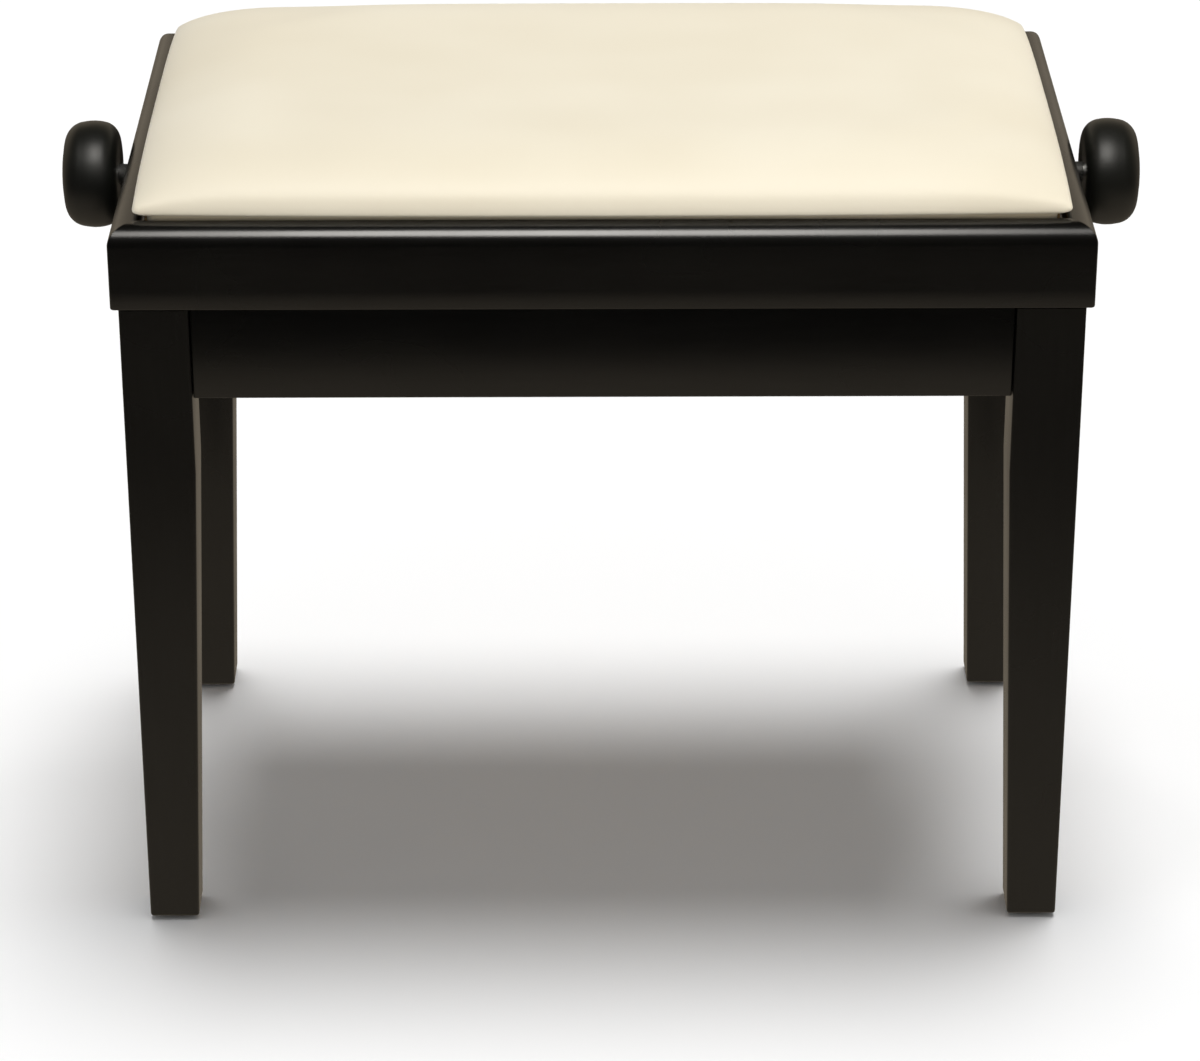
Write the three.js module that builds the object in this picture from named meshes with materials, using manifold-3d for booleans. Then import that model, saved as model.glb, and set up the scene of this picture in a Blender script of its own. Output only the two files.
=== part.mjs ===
// Height-adjustable piano bench, shown fully lowered.
// Millimetres, +Z up, +X along the seat, front at -Y, origin on the floor under the middle.
import * as THREE from "three";
import { mergeVertices } from "three/addons/utils/BufferGeometryUtils.js";
import Module from "manifold-3d";

// ---------- driving dimensions ----------
const GAP = 0.3; // clearance between pieces that touch

// seat frame
const SEAT_LENGTH = 560; // outside
const SEAT_DEPTH = 342;
const FRAME_BOTTOM = 406;
const FRAME_TOP = 455;
const RAIL_THICK = 16;
const RAIL_ROUND = 11; // radius along the top outer edge
const RAIL_EASE = 1; // small bevel on the other long edges

// base
const BASE_LENGTH = 552; // outside of the legs
const BASE_DEPTH = 330;
const LEG_TOP_WIDTH = 40;
const LEG_FOOT_WIDTH = 29.5;
const LEG_TAPER_FROM = 300; // the two inner faces taper below this height
const LEG_EASE = 2; // bevel on the leg's long edges
const APRON_BOTTOM = 347.5;
const APRON_THICK = 18;
const APRON_RECESS = 2.5; // behind the leg's outer face
const FELT_THICK = 2.1;
const FELT_WIDTH = 20;
const GLIDE_RADIUS = 10;
const GLIDE_THICK = 2.2;
const BASE_BATTEN_BOTTOM = 373;

// leg bolts, each on the diagonal through its leg's inner corner, and their corner plates
const BOLT_RADIUS = 4;
const BOLT_HOLE_DEPTH = 25;
const BOLT_END_ROOM = 1; // empty end of the bolt's hole
const BOLT_HEAD_RADIUS = 7.5;
const BOLT_HEAD_THICK = 6;
const PLATE_STANDOFF = 6; // from the leg's corner
const PLATE_BOTTOM = 351;
const PLATE_TOP = 371;
const PLATE_WING = 22; // length of a plate's foot along its apron

// cushion
const CUSHION_OVERHANG = 4.5; // past the frame opening, above the rim
const CUSHION_TOP = 488.5;
const CUSHION_EDGE_HEIGHT = 459; // widest level of the cushion
const CUSHION_SIDE_GAP = 1.2; // inside the frame opening
const CUSHION_LIP = 2.5; // how far the lip widens above the rim
const CUSHION_CORNER = 6; // plan radius of the lip's corners
const CUSHION_SIDE_CORNER = 4; // plan radius inside the frame
const CROWN_INSETS = [0.6, 2.5, 6, 12, 22, 36, 55, 80]; // the crown is level inside the last
const CROWN_CORNER_GROWTH = 0.4; // added corner radius for each millimetre of inset
const CROWN_POWER = 0.4; // the lower, the fuller the crown near its edge

// deck
const DECK_THICK = 12;
const DECK_BOTTOM = 438;
const BLOCK_SIZE = 45; // corner block, along each rail
const SEAT_BATTEN_DEPTH = 8;
const SEAT_BATTEN_HEIGHT = 20;

// knobs and spindle
const KNOB_RADIUS = 32;
const KNOB_THICK = 34;
const KNOB_STANDOFF = 9.5; // bare spindle between the frame and the knob
const KNOB_ROUND = 12; // radius of the outer edge
const KNOB_BACK_ROUND = 9; // radius of the edge beside the frame
const KNOB_SOCKET = 25; // how far the spindle goes into a knob
const KNOB_DOME = 2; // how far the outer face bulges
const SPINDLE_RADIUS = 6;
const SPINDLE_HEIGHT = 423;
const COLLAR_RADIUS = 11;
const COLLAR_WIDTH = 9;
const BUSH_RADIUS = 8;
const BUSH_FLANGE_RADIUS = 12;
const BUSH_FLANGE_THICK = 2.5;

// scissor lift
const ARM_LENGTH = 400; // between pivots
const ARM_HALF_HEIGHT = 12;
const ARM_THICK = 4;
const ARM_RISE = 38; // height between an arm's two pivots when lowered
const ARM_A_PLANE = 104; // distance of each arm's mid plane from the middle
const ARM_B_PLANE = 110;
const ARM_CENTRE_ROOM = 1; // in the outer arms, for the crossing point to wander
const ARM_SLOT_BACK = 3.8; // the inner arms' slot, towards the middle of the arm
const ARM_SLOT_FRONT = 0.4;
const ARM_SLOT_ROOM = 1.1; // above and below the journal
const ROUND_HOLE_HALF = 0.001; // a round hole is a slot this short
const PIN_RADIUS = 5;
const PIN_HEAD_RADIUS = 8;
const PIN_HEAD_THICK = 3;
const PIN_ROOT = 1; // how far a pin's shank starts inside its head
const ROLLER_RADIUS = 7;
const ROLLER_ROOM = 1.7; // above and below a roller
const CROSSHEAD_HALF_LENGTH = 100; // of the square bar, across the seat
const CROSSHEAD_HALF_WIDTH = 11;
const CROSSHEAD_HALF_HEIGHT = 10;

// guide channels
const CHANNEL_INNER = 114; // open side
const CHANNEL_WEB = 124;
const CHANNEL_HALF_LENGTH = 225;
const CHANNEL_FLANGE_OUT = 144; // outer edge of the flange under the deck
const SHEET = 2.4; // steel sheet

// facets of round shapes
const ROD_SIDES = 20;
const TURNED_SIDES = 24;
const KNOB_SIDES = 32;
const BOLT_SIDES = 16;
const BOLT_HEAD_SIDES = 6;
const EDGE_STEPS = 8; // along a rail's rounded edge
const KNOB_EDGE_STEPS = 6;
const CUSHION_CORNER_STEPS = 4;
const CUSHION_SIDE_STEPS = 4;

// ---------- worked out from the driving dimensions ----------
const FRAME_X = SEAT_LENGTH / 2;
const FRAME_Y = SEAT_DEPTH / 2;
const OPENING_X = FRAME_X - RAIL_THICK;
const OPENING_Y = FRAME_Y - RAIL_THICK;
const BASE_X = BASE_LENGTH / 2;
const BASE_Y = BASE_DEPTH / 2;
const LEG_INNER_X = BASE_X - LEG_TOP_WIDTH;
const LEG_INNER_Y = BASE_Y - LEG_TOP_WIDTH;
const FELT_BOTTOM = FRAME_BOTTOM - GAP - FELT_THICK;
const BASE_TOP = FELT_BOTTOM - GAP;
const APRON_INNER_X = BASE_X - APRON_RECESS - APRON_THICK;
const APRON_INNER_Y = BASE_Y - APRON_RECESS - APRON_THICK;
const BOLT_HOLE_RADIUS = BOLT_RADIUS + 0.4;
const DECK_TOP = DECK_BOTTOM + DECK_THICK;
const LOWER_PIVOT_HEIGHT = SPINDLE_HEIGHT - ARM_RISE;
const ARM_ANGLE = Math.asin(ARM_RISE / ARM_LENGTH);
const PIVOT_X = (ARM_LENGTH / 2) * Math.cos(ARM_ANGLE);
const PIVOT_HOLE = PIN_RADIUS + GAP;
const BASE_SLOT_HALF = ROLLER_RADIUS + ROLLER_ROOM;
const SEAT_SLOT_HALF = PIN_RADIUS + ARM_SLOT_ROOM;
const KNOB_INNER_X = FRAME_X + KNOB_STANDOFF;

// ---------- finishes ----------
const finish = (color, roughness, metalness = 0) =>
  new THREE.MeshStandardMaterial({ color, roughness, metalness });
const blackWood = () => finish(0x141311, 0.42);
const leatherette = () => finish(0xeee6d4, 0.5);
const plywood = () => finish(0xb89468, 0.7);
const felt = () => finish(0x1c1b1a, 0.95);
const zincSteel = () => finish(0x9a9c9e, 0.4, 0.9);
const brightSteel = () => finish(0xc9cac8, 0.3, 0.9);
const knobPlastic = () => finish(0x0e0d0c, 0.4);
const bronze = () => finish(0xa07a3e, 0.35, 0.9);
const glidePlastic = () => finish(0x2a2825, 0.6);

// ---------- booleans ----------
const wasm = await Module();
wasm.setup();

function solidOf(geometry) {
  const bare = geometry.clone();
  bare.deleteAttribute("normal");
  bare.deleteAttribute("uv");
  const merged = mergeVertices(bare, 1e-4);
  const mesh = new wasm.Mesh({
    numProp: 3,
    vertProperties: Float32Array.from(merged.attributes.position.array),
    triVerts: Uint32Array.from(merged.index.array),
  });
  return new wasm.Manifold(mesh);
}

function geometryOf(solid) {
  const mesh = solid.getMesh();
  const geometry = new THREE.BufferGeometry();
  geometry.setAttribute("position", new THREE.BufferAttribute(Float32Array.from(mesh.vertProperties), 3));
  geometry.setIndex(new THREE.BufferAttribute(Uint32Array.from(mesh.triVerts), 1));
  geometry.computeVertexNormals();
  return geometry;
}

const cut = (body, ...tools) =>
  geometryOf(tools.reduce((left, tool) => left.subtract(solidOf(tool)), solidOf(body)));

const join = (body, ...others) =>
  geometryOf(others.reduce((sum, other) => sum.add(solidOf(other)), solidOf(body)));

// ---------- shapes ----------
// A box between two corners.
function box([x0, y0, z0], [x1, y1, z1]) {
  const geometry = new THREE.BoxGeometry(Math.abs(x1 - x0), Math.abs(y1 - y0), z1 - z0);
  return geometry.translate((x0 + x1) / 2, (y0 + y1) / 2, (z0 + z1) / 2);
}

const shapeOf = (points) => new THREE.Shape(points.map(([x, y]) => new THREE.Vector2(x, y)));

// An outline extruded about the middle: along X its points are (y, z), along Z they are (x, y).
function extrudeX(points, length) {
  const geometry = new THREE.ExtrudeGeometry(shapeOf(points), { depth: length, bevelEnabled: false });
  const turn = new THREE.Matrix4().makeBasis(
    new THREE.Vector3(0, 1, 0),
    new THREE.Vector3(0, 0, 1),
    new THREE.Vector3(1, 0, 0),
  );
  return geometry.applyMatrix4(turn).translate(-length / 2, 0, 0);
}

function extrudeZ(points, z0, z1) {
  const geometry = new THREE.ExtrudeGeometry(shapeOf(points), { depth: z1 - z0, bevelEnabled: false });
  return geometry.translate(0, 0, z0);
}

// Round bars along X and Y between two stations.
function rodX(radius, x0, x1, y, z, sides = ROD_SIDES) {
  const geometry = new THREE.CylinderGeometry(radius, radius, x1 - x0, sides);
  return geometry.rotateZ(-Math.PI / 2).translate((x0 + x1) / 2, y, z);
}

function rodY(radius, y0, y1, x, z, sides = ROD_SIDES) {
  const geometry = new THREE.CylinderGeometry(radius, radius, Math.abs(y1 - y0), sides);
  return geometry.translate(x, (y0 + y1) / 2, z);
}

// A profile of (radius, height) points turned about Y, then laid along X.
function turnedX(profile, segments) {
  const points = profile.map(([r, h]) => new THREE.Vector2(r, h));
  return new THREE.LatheGeometry(points, segments).rotateZ(-Math.PI / 2);
}

// A closed skin through rings that have the same number of points, each counter-clockwise from above.
function loft(rings) {
  const count = rings[0].length;
  const positions = rings.flat(2);
  const index = [];
  for (let level = 0; level + 1 < rings.length; level += 1) {
    for (let i = 0; i < count; i += 1) {
      const a = level * count + i;
      const b = level * count + ((i + 1) % count);
      index.push(a, b, b + count, a, b + count, a + count);
    }
  }
  const last = (rings.length - 1) * count;
  for (let i = 1; i + 1 < count; i += 1) {
    index.push(0, i + 1, i);
    index.push(last, last + i, last + i + 1);
  }
  const geometry = new THREE.BufferGeometry();
  geometry.setAttribute("position", new THREE.Float32BufferAttribute(positions, 3));
  geometry.setIndex(index);
  geometry.computeVertexNormals();
  return geometry;
}

// A level rectangle with rounded corners, its straight sides divided into equal steps.
function roundedRing([x0, y0], [x1, y1], radius, z, cornerSteps, sideSteps) {
  const corners = [
    [x1 - radius, y1 - radius],
    [x0 + radius, y1 - radius],
    [x0 + radius, y0 + radius],
    [x1 - radius, y0 + radius],
  ];
  const ring = [];
  corners.forEach(([cx, cy], quarter) => {
    for (let i = 0; i <= cornerSteps; i += 1) {
      const angle = (quarter + i / cornerSteps) * (Math.PI / 2);
      ring.push([cx + radius * Math.cos(angle), cy + radius * Math.sin(angle), z]);
    }
    const [nx, ny] = corners[(quarter + 1) % 4];
    const end = ring.at(-1);
    const next = [nx + end[0] - cx, ny + end[1] - cy];
    for (let i = 1; i < sideSteps; i += 1) {
      const t = i / sideSteps;
      ring.push([end[0] + (next[0] - end[0]) * t, end[1] + (next[1] - end[1]) * t, z]);
    }
  });
  return ring;
}

// ---------- the scene graph ----------
const bench = new THREE.Group();

function piece(parent, name, geometry, material) {
  const mesh = new THREE.Mesh(geometry, material);
  mesh.name = name;
  parent.add(mesh);
  return mesh;
}

const SIDES = [
  ["front", -1],
  ["back", 1],
];
const ENDS = [
  ["left", -1],
  ["right", 1],
];

// ---------- base ----------
// A leg: its outer faces are plumb, its inner faces taper to the foot, and its foot edge is bevelled.
function legGeometry(sx, sy) {
  const ring = (width, z, inset) => {
    const xs = [sx * (BASE_X - inset), sx * (BASE_X - width + inset)].sort((a, b) => a - b);
    const ys = [sy * (BASE_Y - inset), sy * (BASE_Y - width + inset)].sort((a, b) => a - b);
    return roundedRing([xs[0], ys[0]], [xs[1], ys[1]], LEG_EASE, z, 1, 1);
  };
  const foot = GLIDE_THICK + GAP;
  const body = loft([
    ring(LEG_FOOT_WIDTH, foot, LEG_EASE),
    ring(LEG_FOOT_WIDTH, foot + LEG_EASE, 0),
    ring(LEG_TOP_WIDTH, LEG_TAPER_FROM, 0),
    ring(LEG_TOP_WIDTH, BASE_TOP, 0),
  ]);
  return cut(body, boltBar(sx, sy, BOLT_HOLE_RADIUS, -BOLT_HOLE_DEPTH, BOLT_HOLE_DEPTH));
}

// A bar along the diagonal through a leg's inner corner, between two stations counted outwards from it.
function boltBar(sx, sy, radius, from, to, sides = BOLT_SIDES) {
  const geometry = new THREE.CylinderGeometry(radius, radius, to - from, sides);
  geometry.translate(0, (from + to) / 2, 0);
  geometry.rotateZ(Math.atan2(sy, sx) - Math.PI / 2);
  return geometry.translate(sx * LEG_INNER_X, sy * LEG_INNER_Y, (PLATE_BOTTOM + PLATE_TOP) / 2);
}

// A bent steel plate across the corner between two aprons, with a bolt hole.
function cornerPlateGeometry(sx, sy) {
  const faceX = APRON_INNER_X - GAP;
  const faceY = APRON_INNER_Y - GAP;
  const outerSum = LEG_INNER_X + LEG_INNER_Y - PLATE_STANDOFF * Math.SQRT2;
  const innerSum = outerSum - SHEET * Math.SQRT2;
  const wingX = outerSum - faceY - PLATE_WING;
  const wingY = outerSum - faceX - PLATE_WING;
  const outline = [
    [wingX, faceY],
    [outerSum - faceY, faceY],
    [faceX, outerSum - faceX],
    [faceX, wingY],
    [faceX - SHEET, wingY],
    [faceX - SHEET, innerSum - faceX + SHEET],
    [innerSum - faceY + SHEET, faceY - SHEET],
    [wingX, faceY - SHEET],
  ];
  const plate = extrudeZ(outline.map(([x, y]) => [sx * x, sy * y]), PLATE_BOTTOM, PLATE_TOP);
  return cut(plate, boltBar(sx, sy, BOLT_HOLE_RADIUS, -BOLT_HOLE_DEPTH, 0));
}

function legBoltGeometry(sx, sy) {
  const seat = -(PLATE_STANDOFF + SHEET + GAP);
  const start = seat - BOLT_HEAD_THICK / 2;
  const shank = boltBar(sx, sy, BOLT_RADIUS, start, BOLT_HOLE_DEPTH - BOLT_END_ROOM);
  return join(shank, boltBar(sx, sy, BOLT_HEAD_RADIUS, seat - BOLT_HEAD_THICK, seat, BOLT_HEAD_SIDES));
}

function addLegs(base) {
  for (const [side, sy] of SIDES) {
    for (const [end, sx] of ENDS) {
      piece(base, `leg_${side}_${end}`, legGeometry(sx, sy), blackWood());
      piece(base, `corner_plate_${side}_${end}`, cornerPlateGeometry(sx, sy), zincSteel());
      piece(base, `leg_bolt_${side}_${end}`, legBoltGeometry(sx, sy), zincSteel());
    }
  }
}

// A round glide under the middle of each foot.
function addGlides(base) {
  const x = BASE_X - LEG_FOOT_WIDTH / 2;
  const y = BASE_Y - LEG_FOOT_WIDTH / 2;
  for (const [side, sy] of SIDES) {
    for (const [end, sx] of ENDS) {
      const disc = new THREE.CylinderGeometry(GLIDE_RADIUS, GLIDE_RADIUS, GLIDE_THICK, TURNED_SIDES);
      const glide = piece(base, `foot_glide_${side}_${end}`, disc.rotateX(Math.PI / 2), glidePlastic());
      glide.position.set(sx * x, sy * y, GLIDE_THICK / 2);
    }
  }
}

function addAprons(base) {
  for (const [side, s] of SIDES) {
    const x = LEG_INNER_X - GAP;
    const ys = [s * APRON_INNER_Y, s * (APRON_INNER_Y + APRON_THICK)];
    const apron = box([-x, ys[0], APRON_BOTTOM], [x, ys[1], BASE_TOP]);
    piece(base, `apron_${side}`, apron, blackWood());
  }
  for (const [end, s] of ENDS) {
    const y = LEG_INNER_Y - GAP;
    const xs = [s * APRON_INNER_X, s * (APRON_INNER_X + APRON_THICK)];
    const apron = box([xs[0], -y, APRON_BOTTOM], [xs[1], y, BASE_TOP]);
    piece(base, `apron_${end}`, apron, blackWood());
  }
}

// Felt on the base's top edge, flush with the legs, on which the lowered seat frame rests.
function addFelt(base) {
  const top = FELT_BOTTOM + FELT_THICK;
  for (const [side, s] of SIDES) {
    const strip = box([-BASE_X, s * (BASE_Y - FELT_WIDTH), FELT_BOTTOM], [BASE_X, s * BASE_Y, top]);
    piece(base, `felt_strip_${side}`, strip, felt());
  }
  for (const [end, s] of ENDS) {
    const y = BASE_Y - FELT_WIDTH - GAP;
    const strip = box([s * (BASE_X - FELT_WIDTH), -y, FELT_BOTTOM], [s * BASE_X, y, top]);
    piece(base, `felt_strip_${end}`, strip, felt());
  }
}

// A steel channel whose open side faces the middle, around a slot of the given half height.
function channelOutline(s, middle, slotHalf) {
  const low = middle - slotHalf;
  const high = middle + slotHalf;
  const back = CHANNEL_WEB + SHEET;
  return [
    [CHANNEL_INNER, low - SHEET],
    [back, low - SHEET],
    [back, high + SHEET],
    [CHANNEL_INNER, high + SHEET],
    [CHANNEL_INNER, high],
    [CHANNEL_WEB, high],
    [CHANNEL_WEB, low],
    [CHANNEL_INNER, low],
  ].map(([y, z]) => [s * y, z]);
}

// The channels that guide the slide rod, each on a wooden batten, and the rod that the inner arms hinge on.
function addBaseRails(base) {
  for (const [side, s] of SIDES) {
    const channel = extrudeX(channelOutline(s, LOWER_PIVOT_HEIGHT, BASE_SLOT_HALF), 2 * CHANNEL_HALF_LENGTH);
    piece(base, `base_channel_${side}`, channel, zincSteel());
    const x = LEG_INNER_X - GAP;
    const ys = [s * (CHANNEL_WEB + SHEET + GAP), s * (APRON_INNER_Y - GAP)];
    const batten = box([-x, ys[0], BASE_BATTEN_BOTTOM], [x, ys[1], BASE_TOP - GAP]);
    piece(base, `base_batten_${side}`, batten, plywood());
  }
  const reach = CHANNEL_WEB - GAP;
  const rod = rodY(PIN_RADIUS, -reach, reach, -PIVOT_X, LOWER_PIVOT_HEIGHT);
  piece(base, "base_pivot_rod", rod, brightSteel());
}

// ---------- seat ----------
// A rail's section as (depth from the outer face, height), with its top outer edge rounded.
function railSection() {
  const section = [
    [RAIL_EASE, FRAME_BOTTOM],
    [0, FRAME_BOTTOM + RAIL_EASE],
  ];
  for (let i = 0; i <= EDGE_STEPS; i += 1) {
    const angle = (i / EDGE_STEPS) * (Math.PI / 2);
    const depth = RAIL_ROUND * (1 - Math.cos(angle));
    section.push([depth, FRAME_TOP - RAIL_ROUND * (1 - Math.sin(angle))]);
  }
  section.push([RAIL_THICK - RAIL_EASE, FRAME_TOP]);
  section.push([RAIL_THICK, FRAME_TOP - RAIL_EASE]);
  section.push([RAIL_THICK, FRAME_BOTTOM]);
  return section;
}

// A rail along X with its outer face at y = 0 and its body at +y. Its ends are mitred.
function mitredRail(length) {
  const rail = extrudeX(railSection(), length - GAP);
  const p = rail.attributes.position;
  for (let i = 0; i < p.count; i += 1) {
    p.setX(i, p.getX(i) - Math.sign(p.getX(i)) * p.getY(i));
  }
  rail.computeVertexNormals();
  return rail;
}

function addSeatRails(seat) {
  for (const [side, s] of SIDES) {
    const rail = mitredRail(SEAT_LENGTH).rotateZ(s > 0 ? Math.PI : 0).translate(0, s * FRAME_Y, 0);
    piece(seat, `seat_rail_${side}`, rail, blackWood());
  }
  for (const [end, s] of ENDS) {
    const rail = mitredRail(SEAT_DEPTH).rotateZ((s * Math.PI) / 2).translate(s * FRAME_X, 0, 0);
    const reach = FRAME_X + RAIL_THICK;
    const bore = rodX(BUSH_RADIUS + GAP, -reach, reach, 0, SPINDLE_HEIGHT, TURNED_SIDES);
    piece(seat, `seat_rail_${end}`, cut(rail, bore), blackWood());
  }
}

// The plywood deck, with a block in each corner and a batten on each long rail below it.
function addDeck(seat) {
  const top = DECK_BOTTOM - GAP;
  const x = OPENING_X - GAP;
  const y = OPENING_Y - GAP;
  for (const [side, sy] of SIDES) {
    for (const [end, sx] of ENDS) {
      const outline = [
        [x, y],
        [x - BLOCK_SIZE, y],
        [x, y - BLOCK_SIZE],
      ];
      const block = extrudeZ(outline.map(([px, py]) => [sx * px, sy * py]), FRAME_BOTTOM + RAIL_EASE, top);
      piece(seat, `corner_block_${side}_${end}`, block, plywood());
    }
    const half = x - BLOCK_SIZE - GAP;
    const inner = y - SEAT_BATTEN_DEPTH;
    const batten = box([-half, sy * inner, top - SEAT_BATTEN_HEIGHT], [half, sy * y, top]);
    piece(seat, `seat_batten_${side}`, batten, plywood());
  }
  piece(seat, "seat_deck", box([-x, -y, DECK_BOTTOM], [x, y, DECK_TOP]), plywood());
}

// How far the crown has risen, from 0 at its edge to 1, at a distance inside the edge.
const crownAt = (inset) => (1 - (1 - inset / CROWN_INSETS.at(-1)) ** 2) ** CROWN_POWER;

// The cushion: straight sides inside the frame opening, a lip over the rim, then a soft crown.
function cushionGeometry() {
  const ring = (x, y, radius, z) =>
    roundedRing([-x, -y], [x, y], radius, z, CUSHION_CORNER_STEPS, CUSHION_SIDE_STEPS);
  const x = OPENING_X - CUSHION_SIDE_GAP;
  const y = OPENING_Y - CUSHION_SIDE_GAP;
  const lipX = OPENING_X + CUSHION_OVERHANG;
  const lipY = OPENING_Y + CUSHION_OVERHANG;
  const rings = [
    ring(x, y, CUSHION_SIDE_CORNER, DECK_TOP + GAP),
    ring(x, y, CUSHION_SIDE_CORNER, FRAME_TOP + GAP),
    ring(lipX - CUSHION_LIP, lipY - CUSHION_LIP, CUSHION_CORNER, FRAME_TOP + 2 * GAP),
    ring(lipX, lipY, CUSHION_CORNER, CUSHION_EDGE_HEIGHT),
  ];
  const rise = CUSHION_TOP - CUSHION_EDGE_HEIGHT;
  for (const inset of CROWN_INSETS) {
    const corner = CUSHION_CORNER + inset * CROWN_CORNER_GROWTH;
    rings.push(ring(lipX - inset, lipY - inset, corner, CUSHION_EDGE_HEIGHT + rise * crownAt(inset)));
  }
  return loft(rings);
}

// The seat's channel guides the crosshead, and its upper flange is screwed up to the deck.
function seatChannelOutline(s) {
  const low = SPINDLE_HEIGHT - SEAT_SLOT_HALF;
  const high = SPINDLE_HEIGHT + SEAT_SLOT_HALF;
  const back = CHANNEL_WEB + SHEET;
  const top = DECK_BOTTOM - GAP;
  return [
    [CHANNEL_INNER, low - SHEET],
    [back, low - SHEET],
    [back, top - SHEET],
    [CHANNEL_FLANGE_OUT, top - SHEET],
    [CHANNEL_FLANGE_OUT, top],
    [CHANNEL_WEB, top],
    [CHANNEL_WEB, high + SHEET],
    [CHANNEL_INNER, high + SHEET],
    [CHANNEL_INNER, high],
    [CHANNEL_WEB, high],
    [CHANNEL_WEB, low],
    [CHANNEL_INNER, low],
  ].map(([y, z]) => [s * y, z]);
}

// The seat's two guide channels, and the headed pins that the outer arms hinge on.
function addSeatMetal(seat) {
  for (const [side, s] of SIDES) {
    const channel = extrudeX(seatChannelOutline(s), 2 * CHANNEL_HALF_LENGTH);
    piece(seat, `seat_channel_${side}`, channel, zincSteel());
    const inner = ARM_B_PLANE - ARM_THICK / 2 - GAP;
    const shank = rodY(PIN_RADIUS, s * (inner - PIN_ROOT), s * (CHANNEL_WEB - GAP), -PIVOT_X, SPINDLE_HEIGHT);
    const head = rodY(PIN_HEAD_RADIUS, s * (inner - PIN_HEAD_THICK), s * inner, -PIVOT_X, SPINDLE_HEIGHT);
    piece(seat, `seat_pivot_pin_${side}`, join(shank, head), brightSteel());
  }
}

// A flanged sleeve in each side rail, in which the spindle turns.
function bushGeometry() {
  const bore = SPINDLE_RADIUS + GAP;
  const flangeFace = OPENING_X - GAP - BUSH_FLANGE_THICK;
  const profile = [
    [bore, flangeFace],
    [BUSH_FLANGE_RADIUS, flangeFace],
    [BUSH_FLANGE_RADIUS, flangeFace + BUSH_FLANGE_THICK],
    [BUSH_RADIUS, flangeFace + BUSH_FLANGE_THICK],
    [BUSH_RADIUS, FRAME_X - GAP],
    [bore, FRAME_X - GAP],
    [bore, flangeFace],
  ];
  return turnedX(profile, TURNED_SIDES);
}

function addBushes(seat) {
  for (const [end, s] of ENDS) {
    const bush = piece(seat, `spindle_bush_${end}`, bushGeometry(), bronze());
    bush.position.z = SPINDLE_HEIGHT;
    bush.rotation.z = s > 0 ? 0 : Math.PI;
  }
}

// ---------- spindle ----------
// A turned knob with a rounded rim, a slightly domed outer face and a blind socket.
function knobGeometry() {
  const bore = SPINDLE_RADIUS + GAP;
  const inner = KNOB_INNER_X;
  const outer = KNOB_INNER_X + KNOB_THICK;
  const quarter = (radius, cx, cy, from) =>
    Array.from({ length: KNOB_EDGE_STEPS + 1 }, (_, i) => {
      const angle = from + (i / KNOB_EDGE_STEPS) * (Math.PI / 2);
      return [cx + radius * Math.cos(angle), cy + radius * Math.sin(angle)];
    });
  const profile = [
    [0, inner + KNOB_SOCKET + GAP],
    [bore, inner + KNOB_SOCKET + GAP],
    [bore, inner],
    ...quarter(KNOB_BACK_ROUND, KNOB_RADIUS - KNOB_BACK_ROUND, inner + KNOB_BACK_ROUND, -Math.PI / 2),
    ...quarter(KNOB_ROUND, KNOB_RADIUS - KNOB_ROUND, outer - KNOB_DOME - KNOB_ROUND, 0),
    [(KNOB_RADIUS - KNOB_ROUND) / 2, outer - KNOB_DOME / 4],
    [0, outer],
  ];
  return turnedX(profile, KNOB_SIDES);
}

// A ring set on the spindle inside each bush.
function collarGeometry() {
  const bore = SPINDLE_RADIUS + GAP;
  const outer = OPENING_X - 2 * GAP - BUSH_FLANGE_THICK;
  const profile = [
    [bore, outer - COLLAR_WIDTH],
    [COLLAR_RADIUS, outer - COLLAR_WIDTH],
    [COLLAR_RADIUS, outer],
    [bore, outer],
    [bore, outer - COLLAR_WIDTH],
  ];
  return turnedX(profile, TURNED_SIDES);
}

function addSpindle(spindle) {
  const reach = KNOB_INNER_X + KNOB_SOCKET;
  const rod = rodX(SPINDLE_RADIUS, -reach, reach, 0, SPINDLE_HEIGHT, TURNED_SIDES);
  piece(spindle, "spindle_rod", rod, brightSteel());
  for (const [end, s] of ENDS) {
    const turned = [
      piece(spindle, `knob_${end}`, knobGeometry(), knobPlastic()),
      piece(spindle, `spindle_collar_${end}`, collarGeometry(), zincSteel()),
    ];
    for (const mesh of turned) {
      mesh.position.z = SPINDLE_HEIGHT;
      mesh.rotation.z = s > 0 ? 0 : Math.PI;
    }
  }
}

// The nut bar on the spindle's thread. Its journals work the inner arms and run in the seat's channels.
function addCrosshead(nut) {
  const bar = box(
    [PIVOT_X - CROSSHEAD_HALF_WIDTH, -CROSSHEAD_HALF_LENGTH, SPINDLE_HEIGHT - CROSSHEAD_HALF_HEIGHT],
    [PIVOT_X + CROSSHEAD_HALF_WIDTH, CROSSHEAD_HALF_LENGTH, SPINDLE_HEIGHT + CROSSHEAD_HALF_HEIGHT],
  );
  const reach = CHANNEL_WEB - 2 * GAP;
  const journal = rodY(PIN_RADIUS, -reach, reach, PIVOT_X, SPINDLE_HEIGHT);
  const bore = rodX(SPINDLE_RADIUS + GAP, 0, 2 * PIVOT_X, 0, SPINDLE_HEIGHT, TURNED_SIDES);
  piece(nut, "drive_crosshead", cut(join(bar, journal), bore), zincSteel());
}

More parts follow.
